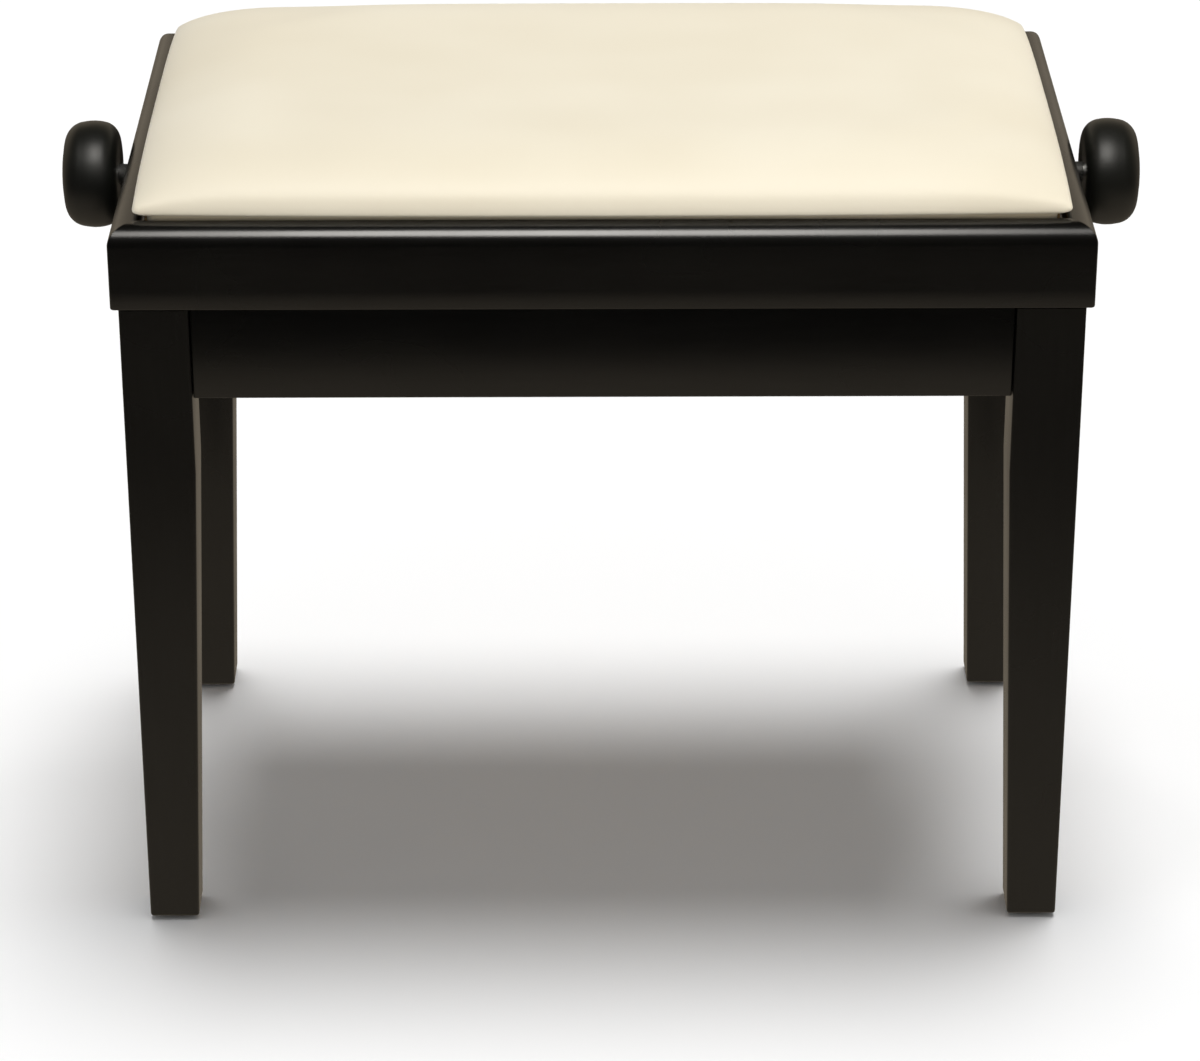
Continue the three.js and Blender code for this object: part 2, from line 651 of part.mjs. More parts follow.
// ---------- scissor arms ----------
// A flat arm lying along +X from its first pivot, with its holes: each is [start, end, radius] along the arm.
function armGeometry(holes) {
  const slot = (path, from, to, radius) => {
    path.absarc(from, 0, radius, Math.PI / 2, (3 * Math.PI) / 2, false);
    path.absarc(to, 0, radius, -Math.PI / 2, Math.PI / 2, false);
    path.closePath();
    return path;
  };
  const shape = slot(new THREE.Shape(), 0, ARM_LENGTH, ARM_HALF_HEIGHT);
  for (const [from, to, radius] of holes) {
    shape.holes.push(slot(new THREE.Path(), from, to, radius));
  }
  const options = { depth: ARM_THICK, bevelEnabled: false, curveSegments: ROD_SIDES / 2 };
  const geometry = new THREE.ExtrudeGeometry(shape, options);
  return geometry.translate(0, 0, -ARM_THICK / 2).rotateX(Math.PI / 2);
}

// An arm with its first pivot at the left, sloped by the given angle.
function addArm(parent, name, plane, pivotHeight, angle, holes) {
  const arm = piece(parent, name, armGeometry(holes), zincSteel());
  arm.position.set(-PIVOT_X, plane, pivotHeight);
  arm.rotation.y = -angle;
}

const roundHole = (at, radius) => [at - ROUND_HOLE_HALF, at + ROUND_HOLE_HALF, radius];

// The inner arms: hinged on the base at the left, worked by the crosshead at the right.
function addArmsA(armA) {
  const holes = [
    roundHole(0, PIVOT_HOLE),
    roundHole(ARM_LENGTH / 2, PIVOT_HOLE),
    [ARM_LENGTH - ARM_SLOT_BACK, ARM_LENGTH + ARM_SLOT_FRONT, SEAT_SLOT_HALF],
  ];
  for (const [side, s] of SIDES) {
    addArm(armA, `inner_arm_${side}`, s * ARM_A_PLANE, LOWER_PIVOT_HEIGHT, ARM_ANGLE, holes);
  }
  const reach = CHANNEL_INNER - 2 * GAP;
  const rod = rodY(PIN_RADIUS, -reach, reach, 0, (SPINDLE_HEIGHT + LOWER_PIVOT_HEIGHT) / 2);
  piece(armA, "centre_rod", rod, brightSteel());
}

// The outer arms: hinged on the seat at the left, joined by the rod that slides in the base's channels.
function addArmsB(armB) {
  const holes = [
    roundHole(0, PIVOT_HOLE),
    roundHole(ARM_LENGTH / 2, PIN_RADIUS + ARM_CENTRE_ROOM),
    roundHole(ARM_LENGTH, PIVOT_HOLE),
  ];
  for (const [side, s] of SIDES) {
    addArm(armB, `outer_arm_${side}`, s * ARM_B_PLANE, SPINDLE_HEIGHT, -ARM_ANGLE, holes);
  }
  const reach = CHANNEL_WEB - GAP;
  const inner = CHANNEL_INNER + GAP;
  const rod = rodY(PIN_RADIUS, -reach, reach, PIVOT_X, LOWER_PIVOT_HEIGHT);
  const rollers = SIDES.map(([, s]) =>
    rodY(ROLLER_RADIUS, s * inner, s * reach, PIVOT_X, LOWER_PIVOT_HEIGHT, TURNED_SIDES),
  );
  piece(armB, "slide_rod", join(rod, ...rollers), brightSteel());
}

// ---------- assembly ----------
function addGroup(parent, build) {
  const group = new THREE.Group();
  parent.add(group);
  build.forEach((add) => add(group));
}

addGroup(bench, [addLegs, addGlides, addAprons, addFelt, addBaseRails]);
addGroup(bench, [
  addSeatRails,
  addDeck,
  (seat) => piece(seat, "seat_cushion", cushionGeometry(), leatherette()),
  addSeatMetal,
  addBushes,
]);
addGroup(bench, [addSpindle]);
addGroup(bench, [addCrosshead]);
addGroup(bench, [addArmsA]);
addGroup(bench, [addArmsB]);

export default bench;
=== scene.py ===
"""A height-adjustable piano bench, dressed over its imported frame.

Every sub-assembly is a class that builds its pieces from the frame's own boxes and puts its finishes on
them. Lengths in the classes are in metres. Finishes state their pattern sizes in millimetres.
"""

import logging
import math
from abc import ABC, abstractmethod
from collections.abc import Callable, Iterable, Sequence
from dataclasses import dataclass
from enum import Enum

import bmesh
import bpy
from mathutils import Matrix, Vector


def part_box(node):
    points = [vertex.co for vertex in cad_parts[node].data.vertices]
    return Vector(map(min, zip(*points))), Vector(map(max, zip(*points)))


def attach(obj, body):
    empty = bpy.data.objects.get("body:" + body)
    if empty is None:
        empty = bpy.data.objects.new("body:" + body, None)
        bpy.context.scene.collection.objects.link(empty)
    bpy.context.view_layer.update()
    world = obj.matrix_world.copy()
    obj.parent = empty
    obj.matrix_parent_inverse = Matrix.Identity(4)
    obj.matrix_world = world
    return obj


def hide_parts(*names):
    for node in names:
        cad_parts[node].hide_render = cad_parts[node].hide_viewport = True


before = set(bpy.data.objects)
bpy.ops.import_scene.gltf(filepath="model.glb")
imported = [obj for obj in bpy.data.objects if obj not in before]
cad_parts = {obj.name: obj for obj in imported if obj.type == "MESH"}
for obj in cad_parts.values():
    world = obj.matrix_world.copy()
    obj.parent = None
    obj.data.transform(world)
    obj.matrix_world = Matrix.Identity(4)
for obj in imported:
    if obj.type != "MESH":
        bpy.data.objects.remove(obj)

LOG = logging.getLogger("piano_bench")
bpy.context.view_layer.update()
MM = 0.001
SPINDLE_HEIGHT = 423.0 * MM
CREASE = 32.0  # degrees: sharper edges stay crisp
ROUND = 48  # segments round a rod, a washer or a bore

Point = tuple[float, float, float]
Flat = tuple[float, float]
Ring = list[Vector]
Mesh = bmesh.types.BMesh
Node = bpy.types.Node
Tree = bpy.types.NodeTree


class Body(Enum):
    """The moving bodies of the bench."""

    BASE = "base"
    SEAT = "seat"
    SPINDLE = "spindle"
    CROSSHEAD = "crosshead"
    INNER_ARMS = "inner_arms"
    OUTER_ARMS = "outer_arms"


class Along(Enum):
    """The row axis along which a grain, a brush mark or a bar runs."""

    X = 0
    Y = 1
    Z = 2


# ---------------------------------------------------------------- shader tools


def linear(code: str) -> tuple[float, float, float, float]:
    """Turn an sRGB hex colour into linear RGBA.

    Args:
        code: Six hex digits after a hash sign.

    Returns:
        The linear colour with full opacity.
    """
    channels = [int(code[i : i + 2], 16) / 255 for i in (1, 3, 5)]
    red, green, blue = (c / 12.92 if c <= 0.04045 else ((c + 0.055) / 1.055) ** 2.4 for c in channels)
    return red, green, blue, 1.0


def add_node(
    tree: Tree,
    kind: str,
    settings: dict[str | int, object] | None = None,
    links: dict[str | int, tuple[Node, str | int]] | None = None,
) -> Node:
    """Add one node with its settings and its incoming links.

    Args:
        tree: The node tree that gets the node.
        kind: The node's type.
        settings: Values by input name or index, or by attribute name.
        links: The source node and its output for each linked input.

    Returns:
        The new node.
    """
    node = tree.nodes.new(kind)
    for name, value in (settings or {}).items():
        if isinstance(name, int) or name in node.inputs:
            node.inputs[name].default_value = value
        else:
            setattr(node, name, value)
    for name, (source, output) in (links or {}).items():
        tree.links.new(source.outputs[output], node.inputs[name])
    return node


# The colour sockets of a Mix node in its RGBA mode.
MIX_A, MIX_B, MIX_RESULT = 6, 7, 2
# Most of a noise's values lie between these two.
NOISE_LOW, NOISE_HIGH = 0.3, 0.7
# The Wave node's scale at which one band is one unit wide.
WAVE_UNIT = 0.314


@dataclass(frozen=True)
class Finish(ABC):
    """A real material and how its surface was made."""

    name: str

    def material(self) -> bpy.types.Material:
        """Give this finish's material, made the first time that it is asked for.

        Returns:
            The material.
        """
        made = bpy.data.materials.get(self.name)
        if made is None:
            made = bpy.data.materials.new(self.name)
            made.use_nodes = True
            tree = made.node_tree
            self.paint(tree, tree.nodes["Principled BSDF"])
        return made

    @abstractmethod
    def paint(self, tree: Tree, shader: Node) -> None:
        """Set the shader's values and add the nodes of the pattern.

        Args:
            tree: The material's node tree.
            shader: Its Principled node.
        """

    def stretched(self, tree: Tree, size_mm: Point) -> Node:
        """Map object space so that one unit of a pattern covers the given size along each axis.

        Args:
            tree: The material's node tree.
            size_mm: The sizes along X, Y and Z.

        Returns:
            The mapping node.
        """
        place = add_node(tree, "ShaderNodeTexCoord")
        scale = [1 / (size * MM) for size in size_mm]
        return add_node(tree, "ShaderNodeMapping", {"Scale": scale}, {"Vector": (place, "Object")})

    def run_along(self, axis: Along, long_mm: float, cross_mm: float) -> Point:
        """Give the size of a pattern that is long on one axis and fine on the other two.

        Args:
            axis: The long axis.
            long_mm: The size along it.
            cross_mm: The size across it.

        Returns:
            The sizes along X, Y and Z.
        """
        sizes = [cross_mm] * 3
        sizes[axis.value] = long_mm
        return sizes[0], sizes[1], sizes[2]

    def spread(self, tree: Tree, noise: Node, low: float = 0.0, high: float = 1.0) -> Node:
        """Spread a noise's values over a range.

        Args:
            tree: The material's node tree.
            noise: The noise.
            low: The range's least value.
            high: Its greatest value.

        Returns:
            The node that gives the spread values.
        """
        span = {"From Min": NOISE_LOW, "From Max": NOISE_HIGH, "To Min": low, "To Max": high}
        return add_node(tree, "ShaderNodeMapRange", span, {"Value": (noise, 0)})

    def blend(self, tree: Tree, share: tuple[Node, str], dark: str, light: str) -> Node:
        """Blend two hex colours.

        Args:
            tree: The material's node tree.
            share: The node and its output that give the second colour's share.
            dark: The first colour.
            light: The second colour.

        Returns:
            The node that gives the blend.
        """
        settings = {"data_type": "RGBA", MIX_A: linear(dark), MIX_B: linear(light)}
        return add_node(tree, "ShaderNodeMix", settings, {0: share})

    def tint(self, tree: Tree, shader: Node, noise: Node, dark: str, light: str) -> None:
        """Blend the base colour between two hex colours from a noise.

        Args:
            tree: The material's node tree.
            shader: Its Principled node.
            noise: The noise.
            dark: The colour where the noise is low.
            light: The colour where it is high.
        """
        mix = self.blend(tree, (self.spread(tree, noise), "Result"), dark, light)
        tree.links.new(mix.outputs[MIX_RESULT], shader.inputs["Base Color"])

    def roughen(self, tree: Tree, shader: Node, noise: Node, low: float, high: float) -> None:
        """Drive the roughness between two limits from a noise.

        Args:
            tree: The material's node tree.
            shader: Its Principled node.
            noise: The noise.
            low: The least roughness.
            high: The greatest roughness.
        """
        ranged = self.spread(tree, noise, low, high)
        tree.links.new(ranged.outputs["Result"], shader.inputs["Roughness"])

    def emboss(self, tree: Tree, shader: Node, layers: Sequence[tuple[Node, float, float]]) -> None:
        """Stack bump layers on the shader's surface.

        Args:
            tree: The material's node tree.
            shader: Its Principled node.
            layers: Each layer's height source, its depth in millimetres and its strength.
        """
        below = None
        for source, depth_mm, strength in layers:
            links = {"Height": (source, 0)}
            if below is not None:
                links["Normal"] = (below, "Normal")
            below = add_node(tree, "ShaderNodeBump", {"Strength": strength, "Distance": depth_mm * MM}, links)
        if below is not None:
            tree.links.new(below.outputs["Normal"], shader.inputs["Normal"])


@dataclass(frozen=True)
class SatinBlackLacquer(Finish):
    """Beech sprayed with pigmented satin lacquer: nearly black and slightly warm, with a soft sheen.

    The film hides the wood's colour and leaves only a hint of its pores and the gun's orange peel.
    """

    along: Along = Along.X
    dark: str = "#060606"
    light: str = "#0b0b0a"
    smooth: float = 0.23
    rough: float = 0.29
    pore_long_mm: float = 38.0
    pore_mm: float = 0.9
    peel_mm: float = 2.2
    cloud_mm: float = 70.0

    def paint(self, tree: Tree, shader: Node) -> None:
        """Paint the film, its pores and its orange peel.

        Args:
            tree: The material's node tree.
            shader: Its Principled node.
        """
        shader.inputs["IOR"].default_value = 1.5
        shader.inputs["Specular IOR Level"].default_value = 0.45
        place = self.stretched(tree, self.run_along(self.along, self.pore_long_mm, self.pore_mm))
        pores = add_node(tree, "ShaderNodeTexNoise", {"Scale": 1.0, "Detail": 3.0}, {"Vector": (place, 0)})
        even = self.stretched(tree, (self.peel_mm,) * 3)
        peel = add_node(tree, "ShaderNodeTexNoise", {"Scale": 1.0, "Detail": 2.0}, {"Vector": (even, 0)})
        wide = self.stretched(tree, (self.cloud_mm,) * 3)
        cloud = add_node(tree, "ShaderNodeTexNoise", {"Scale": 1.0, "Detail": 2.0}, {"Vector": (wide, 0)})
        self.tint(tree, shader, pores, self.dark, self.light)
        self.roughen(tree, shader, cloud, self.smooth, self.rough)
        self.emboss(tree, shader, [(pores, 0.015, 0.30), (peel, 0.015, 0.25)])


@dataclass(frozen=True)
class Leatherette(Finish):
    """PVC-coated fabric, embossed with a very fine grain: warm ivory, smooth and slightly silky."""

    dark: str = "#f3ebd7"
    light: str = "#f8f1df"
    smooth: float = 0.46
    rough: float = 0.54
    grain_mm: float = 1.1
    cloud_mm: Point = (120.0, 90.0, 90.0)

    def paint(self, tree: Tree, shader: Node) -> None:
        """Paint the ivory coat and its pressed grain.

        Args:
            tree: The material's node tree.
            shader: Its Principled node.
        """
        shader.inputs["IOR"].default_value = 1.48
        shader.inputs["Specular IOR Level"].default_value = 0.35
        shader.inputs["Sheen Weight"].default_value = 0.08
        shader.inputs["Sheen Roughness"].default_value = 0.5
        fine = self.stretched(tree, (self.grain_mm,) * 3)
        cells = {"feature": "SMOOTH_F1", "Scale": 1.0, "Smoothness": 0.4}
        pebble = add_node(tree, "ShaderNodeTexVoronoi", cells, {"Vector": (fine, 0)})
        crease = add_node(tree, "ShaderNodeTexNoise", {"Scale": 1.6, "Detail": 3.0}, {"Vector": (fine, 0)})
        wide = self.stretched(tree, self.cloud_mm)
        cloud = add_node(tree, "ShaderNodeTexNoise", {"Scale": 1.0, "Detail": 1.5}, {"Vector": (wide, 0)})
        self.tint(tree, shader, cloud, self.dark, self.light)
        self.roughen(tree, shader, cloud, self.smooth, self.rough)
        self.emboss(tree, shader, [(pebble, 0.05, 0.20), (crease, 0.03, 0.15)])


@dataclass(frozen=True)
class BarSteel(Finish):
    """Steel with marks along or round it: zinc-plated sheet, or a bright drawn or turned bar.

    The plating's chromate film scatters part of the light, so that it looks paler and duller than bare bar.
    """

    dark: str = "#b9bcc0"
    light: str = "#cfd1d3"
    smooth: float = 0.34
    rough: float = 0.46
    along: Along = Along.X
    mark_long_mm: float = 30.0
    mark_mm: float = 0.6
    cloud_mm: float = 18.0
    bare: float = 0.82  # how metallic it looks

    def paint(self, tree: Tree, shader: Node) -> None:
        """Paint the metal, its drawing marks and the faint clouds of its plating.

        Args:
            tree: The material's node tree.
            shader: Its Principled node.
        """
        shader.inputs["Metallic"].default_value = self.bare
        place = self.stretched(tree, self.run_along(self.along, self.mark_long_mm, self.mark_mm))
        marks = add_node(tree, "ShaderNodeTexNoise", {"Scale": 1.0, "Detail": 3.0}, {"Vector": (place, 0)})
        wide = self.stretched(tree, (self.cloud_mm,) * 3)
        cloud = add_node(tree, "ShaderNodeTexNoise", {"Scale": 1.0, "Detail": 4.0}, {"Vector": (wide, 0)})
        self.tint(tree, shader, cloud, self.dark, self.light)
        self.roughen(tree, shader, cloud, self.smooth, self.rough)
        self.emboss(tree, shader, [(marks, 0.02, 0.25)])


@dataclass(frozen=True)
class OiledBronze(Finish):
    """Sintered bronze, pressed and sized: brownish gold, dull from its oil-filled pores."""

    dark: str = "#8a6231"
    light: str = "#b98c4d"
    smooth: float = 0.34
    rough: float = 0.5
    pore_mm: float = 0.4

    def paint(self, tree: Tree, shader: Node) -> None:
        """Paint the bronze and its fine pores.

        Args:
            tree: The material's node tree.
            shader: Its Principled node.
        """
        shader.inputs["Metallic"].default_value = 1.0
        place = self.stretched(tree, (self.pore_mm,) * 3)
        pores = add_node(tree, "ShaderNodeTexNoise", {"Scale": 1.0, "Detail": 2.0}, {"Vector": (place, 0)})
        self.tint(tree, shader, pores, self.dark, self.light)
        self.roughen(tree, shader, pores, self.smooth, self.rough)
        self.emboss(tree, shader, [(pores, 0.03, 0.3)])


@dataclass(frozen=True)
class SawnBeech(Finish):
    """Planed and unfinished beech: pinkish tan, with straight grain and short dark flecks."""

    along: Along = Along.X
    dark: str = "#b58d5f"
    light: str = "#d6b487"
    smooth: float = 0.55
    rough: float = 0.72
    grain_long_mm: float = 90.0
    grain_mm: float = 3.0
    fleck_long_mm: float = 5.0
    fleck_mm: float = 0.8

    def paint(self, tree: Tree, shader: Node) -> None:
        """Paint the grain and the flecks.

        Args:
            tree: The material's node tree.
            shader: Its Principled node.
        """
        place = self.stretched(tree, self.run_along(self.along, self.grain_long_mm, self.grain_mm))
        wavy = {"Scale": 1.0, "Detail": 5.0, "Distortion": 0.6}
        grain = add_node(tree, "ShaderNodeTexNoise", wavy, {"Vector": (place, 0)})
        short = self.stretched(tree, self.run_along(self.along, self.fleck_long_mm, self.fleck_mm))
        flecks = add_node(tree, "ShaderNodeTexNoise", {"Scale": 1.0, "Detail": 2.0}, {"Vector": (short, 0)})
        self.tint(tree, shader, grain, self.dark, self.light)
        self.roughen(tree, shader, flecks, self.smooth, self.rough)
        self.emboss(tree, shader, [(flecks, 0.05, 0.35), (grain, 0.04, 0.25)])


@dataclass(frozen=True)
class BirchPlywood(Finish):
    """Peeled birch plywood: pale figured faces, and sawn edges that show its plies."""

    face_dark: str = "#c39c66"
    face_light: str = "#dcc094"
    edge_dark: str = "#8a6238"
    edge_light: str = "#cfae7c"
    smooth: float = 0.6
    rough: float = 0.75
    ply_mm: float = 1.5
    figure_mm: Point = (160.0, 14.0, 60.0)
    fibre_mm: Point = (20.0, 0.9, 0.9)

    def paint(self, tree: Tree, shader: Node) -> None:
        """Paint the figure on the faces and the plies on the edges.

        Args:
            tree: The material's node tree.
            shader: Its Principled node.
        """
        place = self.stretched(tree, self.figure_mm)
        wavy = {"Scale": 1.0, "Detail": 6.0, "Distortion": 1.2}
        figure = add_node(tree, "ShaderNodeTexNoise", wavy, {"Vector": (place, 0)})
        level = self.stretched(tree, (1000.0, 1000.0, 2 * self.ply_mm))
        bands = {"bands_direction": "Z", "Scale": WAVE_UNIT}
        plies = add_node(tree, "ShaderNodeTexWave", bands, {"Vector": (level, 0)})
        fibres = self.stretched(tree, self.fibre_mm)
        fuzz = add_node(tree, "ShaderNodeTexNoise", {"Scale": 1.0, "Detail": 2.0}, {"Vector": (fibres, 0)})
        face = self.blend(tree, (self.spread(tree, figure), "Result"), self.face_dark, self.face_light)
        edge = self.blend(tree, (plies, "Fac"), self.edge_dark, self.edge_light)
        normal = add_node(tree, "ShaderNodeTexCoord")
        split = add_node(tree, "ShaderNodeSeparateXYZ", None, {0: (normal, "Normal")})
        upright = add_node(tree, "ShaderNodeMath", {"operation": "ABSOLUTE"}, {0: (split, "Z")})
        both = {0: (upright, 0), MIX_A: (edge, MIX_RESULT), MIX_B: (face, MIX_RESULT)}
        mix = add_node(tree, "ShaderNodeMix", {"data_type": "RGBA"}, both)
        tree.links.new(mix.outputs[MIX_RESULT], shader.inputs["Base Color"])
        self.roughen(tree, shader, fuzz, self.smooth, self.rough)
        self.emboss(tree, shader, [(fuzz, 0.05, 0.4)])


@dataclass(frozen=True)
class PressedFelt(Finish):
    """Pressed wool felt, dyed black: matt, with matted fibres that lift the light at grazing angles."""

    dark: str = "#262422"
    light: str = "#3a3734"
    smooth: float = 0.9
    rough: float = 1.0
    fibre_long_mm: float = 2.8
    fibre_mm: float = 0.7

    def paint(self, tree: Tree, shader: Node) -> None:
        """Paint the dyed wool and its fibres.

        Args:
            tree: The material's node tree.
            shader: Its Principled node.
        """
        shader.inputs["Sheen Weight"].default_value = 0.25
        shader.inputs["Specular IOR Level"].default_value = 0.1
        place = self.stretched(tree, self.run_along(Along.X, self.fibre_long_mm, self.fibre_mm))
        fibres = add_node(tree, "ShaderNodeTexNoise", {"Scale": 1.0, "Detail": 5.0}, {"Vector": (place, 0)})
        self.tint(tree, shader, fibres, self.dark, self.light)
        self.roughen(tree, shader, fibres, self.smooth, self.rough)
        self.emboss(tree, shader, [(fibres, 0.25, 0.7)])


@dataclass(frozen=True)
class MouldedPlastic(Finish):
    """Injection-moulded plastic from a fine-blasted tool: even and satin, with a soft highlight."""

    dark: str = "#0e0f0c"
    light: str = "#141511"
    smooth: float = 0.41
    rough: float = 0.47
    texture_mm: float = 0.5
    cloud_mm: float = 25.0

    def paint(self, tree: Tree, shader: Node) -> None:
        """Paint the plastic and the tool's texture.

        Args:
            tree: The material's node tree.
            shader: Its Principled node.
        """
        shader.inputs["IOR"].default_value = 1.54
        shader.inputs["Specular IOR Level"].default_value = 0.35
        place = self.stretched(tree, (self.texture_mm,) * 3)
        blast = add_node(tree, "ShaderNodeTexNoise", {"Scale": 1.0, "Detail": 2.0}, {"Vector": (place, 0)})
        wide = self.stretched(tree, (self.cloud_mm,) * 3)
        cloud = add_node(tree, "ShaderNodeTexNoise", {"Scale": 1.0, "Detail": 2.0}, {"Vector": (wide, 0)})
        self.tint(tree, shader, cloud, self.dark, self.light)
        self.roughen(tree, shader, cloud, self.smooth, self.rough)
        self.emboss(tree, shader, [(blast, 0.01, 0.25)])


LACQUER = {axis: SatinBlackLacquer(f"satin_black_lacquer_{axis.name}", axis) for axis in Along}
IVORY = Leatherette("ivory_leatherette")
ZINC = {axis: BarSteel(f"zinc_plated_steel_{axis.name}", along=axis) for axis in Along}
BRIGHT = {
    axis: BarSteel(
        f"bright_drawn_steel_{axis.name}",
        dark="#b9b8b5",
        light="#d2d1ce",
        smooth=0.20,
        rough=0.30,
        along=axis,
        mark_mm=0.35,
        bare=0.92,
    )
    for axis in Along
}
BRONZE = OiledBronze("oiled_sintered_bronze")
BEECH = {axis: SawnBeech(f"planed_beech_{axis.name}", axis) for axis in Along}
PLYWOOD = BirchPlywood("birch_plywood")
FELT = PressedFelt("black_pressed_felt")
KNOB_BLACK = MouldedPlastic("moulded_black_phenolic")
GLIDE_NYLON = MouldedPlastic("moulded_dark_nylon", "#1b1917", "#262320", smooth=0.45, rough=0.6)

# ---------------------------------------------------------------- mesh tools


def close_rings(bm: Mesh, rings: Sequence[Ring], caps: bool = True) -> None:
    """Skin rings of equal count, each to the next, and cap the two ends.

    Args:
        bm: The mesh that gets the faces.
        rings: Rings of points, all in the same turning sense.
        caps: Whether the first and last rings are closed with a face.
    """
    loops = [[bm.verts.new(point) for point in ring] for ring in rings]
    for lower, upper in zip(loops, loops[1:]):
        for i, start in enumerate(lower):
            j = (i + 1) % len(lower)
            bm.faces.new((start, lower[j], upper[j], upper[i]))
    if caps:
        bm.faces.new(loops[0][::-1])
        bm.faces.new(loops[-1])


def arc(centre: Flat, radius: float, start: float, end: float, steps: int) -> list[Flat]:
    """Give points on an arc, its two ends included.

    Args:
        centre: The arc's centre.
        radius: Its radius.
        start: The start angle in degrees.
        end: The end angle in degrees.
        steps: The number of steps between the ends.

    Returns:
        The points in order.
    """
    angles = [math.radians(start + (end - start) * i / steps) for i in range(steps + 1)]
    return [(centre[0] + radius * math.cos(a), centre[1] + radius * math.sin(a)) for a in angles]


def rounded_outline(low: Flat, high: Flat, radii: Sequence[float], steps: int = 4) -> list[Flat]:
    """Give a rectangle's outline with its own radius at each corner, counter-clockwise.

    Args:
        low: The lowest corner.
        high: The highest corner.
        radii: Radii at the corners (high, high), (low, high), (low, low) and (high, low).
        steps: Steps in each corner's arc.

    Returns:
        The outline's points.
    """
    signs = ((1, 1), (-1, 1), (-1, -1), (1, -1))
    points: list[Flat] = []
    for quarter, ((sx, sy), radius) in enumerate(zip(signs, radii)):
        centre = (
            (high[0] if sx > 0 else low[0]) - sx * radius,
            (high[1] if sy > 0 else low[1]) - sy * radius,
        )
        points += arc(centre, radius, 90 * quarter, 90 * (quarter + 1), steps)
    return points


def lift(outline: Iterable[Flat], axis: Along, station: float) -> Ring:
    """Stand a flat outline up across an axis.

    Args:
        outline: Points in the plane's own two axes, in X, Y, Z order with the given axis left out.
        axis: The axis that the plane crosses.
        station: Where it crosses it.

    Returns:
        The ring of points.
    """
    ring = []
    for a, b in outline:
        point = [a, b]
        point.insert(axis.value, station)
        ring.append(Vector(point))
    return ring


def turned(profile: Sequence[Flat], axis: Along, centre: Point, segments: int) -> Mesh:
    """Turn a profile about an axis.

    Args:
        profile: Points of (radius, station along the axis). A radius of 0 closes the end.
        axis: The axis to turn about.
        centre: A point on the axis, from which stations count.
        segments: Segments round the axis.

    Returns:
        A mesh that is closed if the profile starts and ends at radius 0.
    """
    bm = bmesh.new()
    others = [i for i in range(3) if i != axis.value]
    rows = []
    for radius, station in profile:
        row = []
        for step in range(segments if radius > 0 else 1):
            angle = 2 * math.pi * step / segments
            point = Vector(centre)
            point[axis.value] += station
            point[others[0]] += radius * math.cos(angle)
            point[others[1]] += radius * math.sin(angle)
            row.append(bm.verts.new(point))
        rows.append(row)
    for lower, upper in zip(rows, rows[1:]):
        for i in range(segments):
            j = (i + 1) % segments
            below = [lower[i % len(lower)], lower[j % len(lower)]]
            above = [upper[j % len(upper)], upper[i % len(upper)]]
            face = list(dict.fromkeys(below + above))
            if len(face) > 2:
                bm.faces.new(face)
    bmesh.ops.recalc_face_normals(bm, faces=bm.faces)
    return bm


def absorb(bm: Mesh, other: Mesh, place: Matrix | None = None) -> None:
    """Copy one mesh into another and free it.

    Args:
        bm: The mesh that grows.
        other: The mesh that is copied and freed.
        place: Where the copy goes. Left out, it stays where it is.
    """
    if place is not None:
        bmesh.ops.transform(other, matrix=place, verts=other.verts)
    spare = bpy.data.meshes.new("spare")
    other.to_mesh(spare)
    other.free()
    bm.from_mesh(spare)
    bpy.data.meshes.remove(spare)


def place_piece(
    bm: Mesh,
    name: str,
    body: Body,
    finish: Finish,
    stands_for: Sequence[str] = (),
    crease: float = CREASE,
) -> bpy.types.Object:
    """Turn a mesh into a piece that rides on a body.

    Args:
        bm: The mesh, which is freed.
        name: The piece's name.
        body: The body that it rides on.
        finish: Its finish.
        stands_for: The CAD nodes that it replaces.
        crease: Edges sharper than this many degrees stay crisp.

    Returns:
        The new object.
    """
    bmesh.ops.recalc_face_normals(bm, faces=bm.faces)
    mesh = bpy.data.meshes.new(name)
    bm.to_mesh(mesh)
    bm.free()
    mesh.shade_smooth()
    mesh.set_sharp_from_angle(angle=math.radians(crease))
    mesh.materials.append(finish.material())
    piece = bpy.data.objects.new(name, mesh)
    bpy.context.scene.collection.objects.link(piece)
    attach(piece, body.value)
    if stands_for:
        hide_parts(*stands_for)
    LOG.info("%s rides on %s", name, body.value)
    return piece


def dress_node(name: str, finish: Finish, ease_mm: float = 0.0) -> None:
    """Give a CAD node its finish and, if asked, eased edges.

    Args:
        name: The CAD node.
        finish: Its finish.
        ease_mm: The width of the bevel on its edges.
    """
    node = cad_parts[name]
    node.data.materials.clear()
    node.data.materials.append(finish.material())
    if ease_mm:
        weld = node.modifiers.new("weld", "WELD")
        weld.merge_threshold = 0.01 * MM
        bevel = node.modifiers.new("eased edges", "BEVEL")
        bevel.width = ease_mm * MM
        bevel.segments = 2
        bevel.limit_method = "ANGLE"
        bevel.angle_limit = math.radians(40)
        bevel.harden_normals = True
    LOG.info("%s finished as %s", name, finish.name)


# ---------------------------------------------------------------- studio


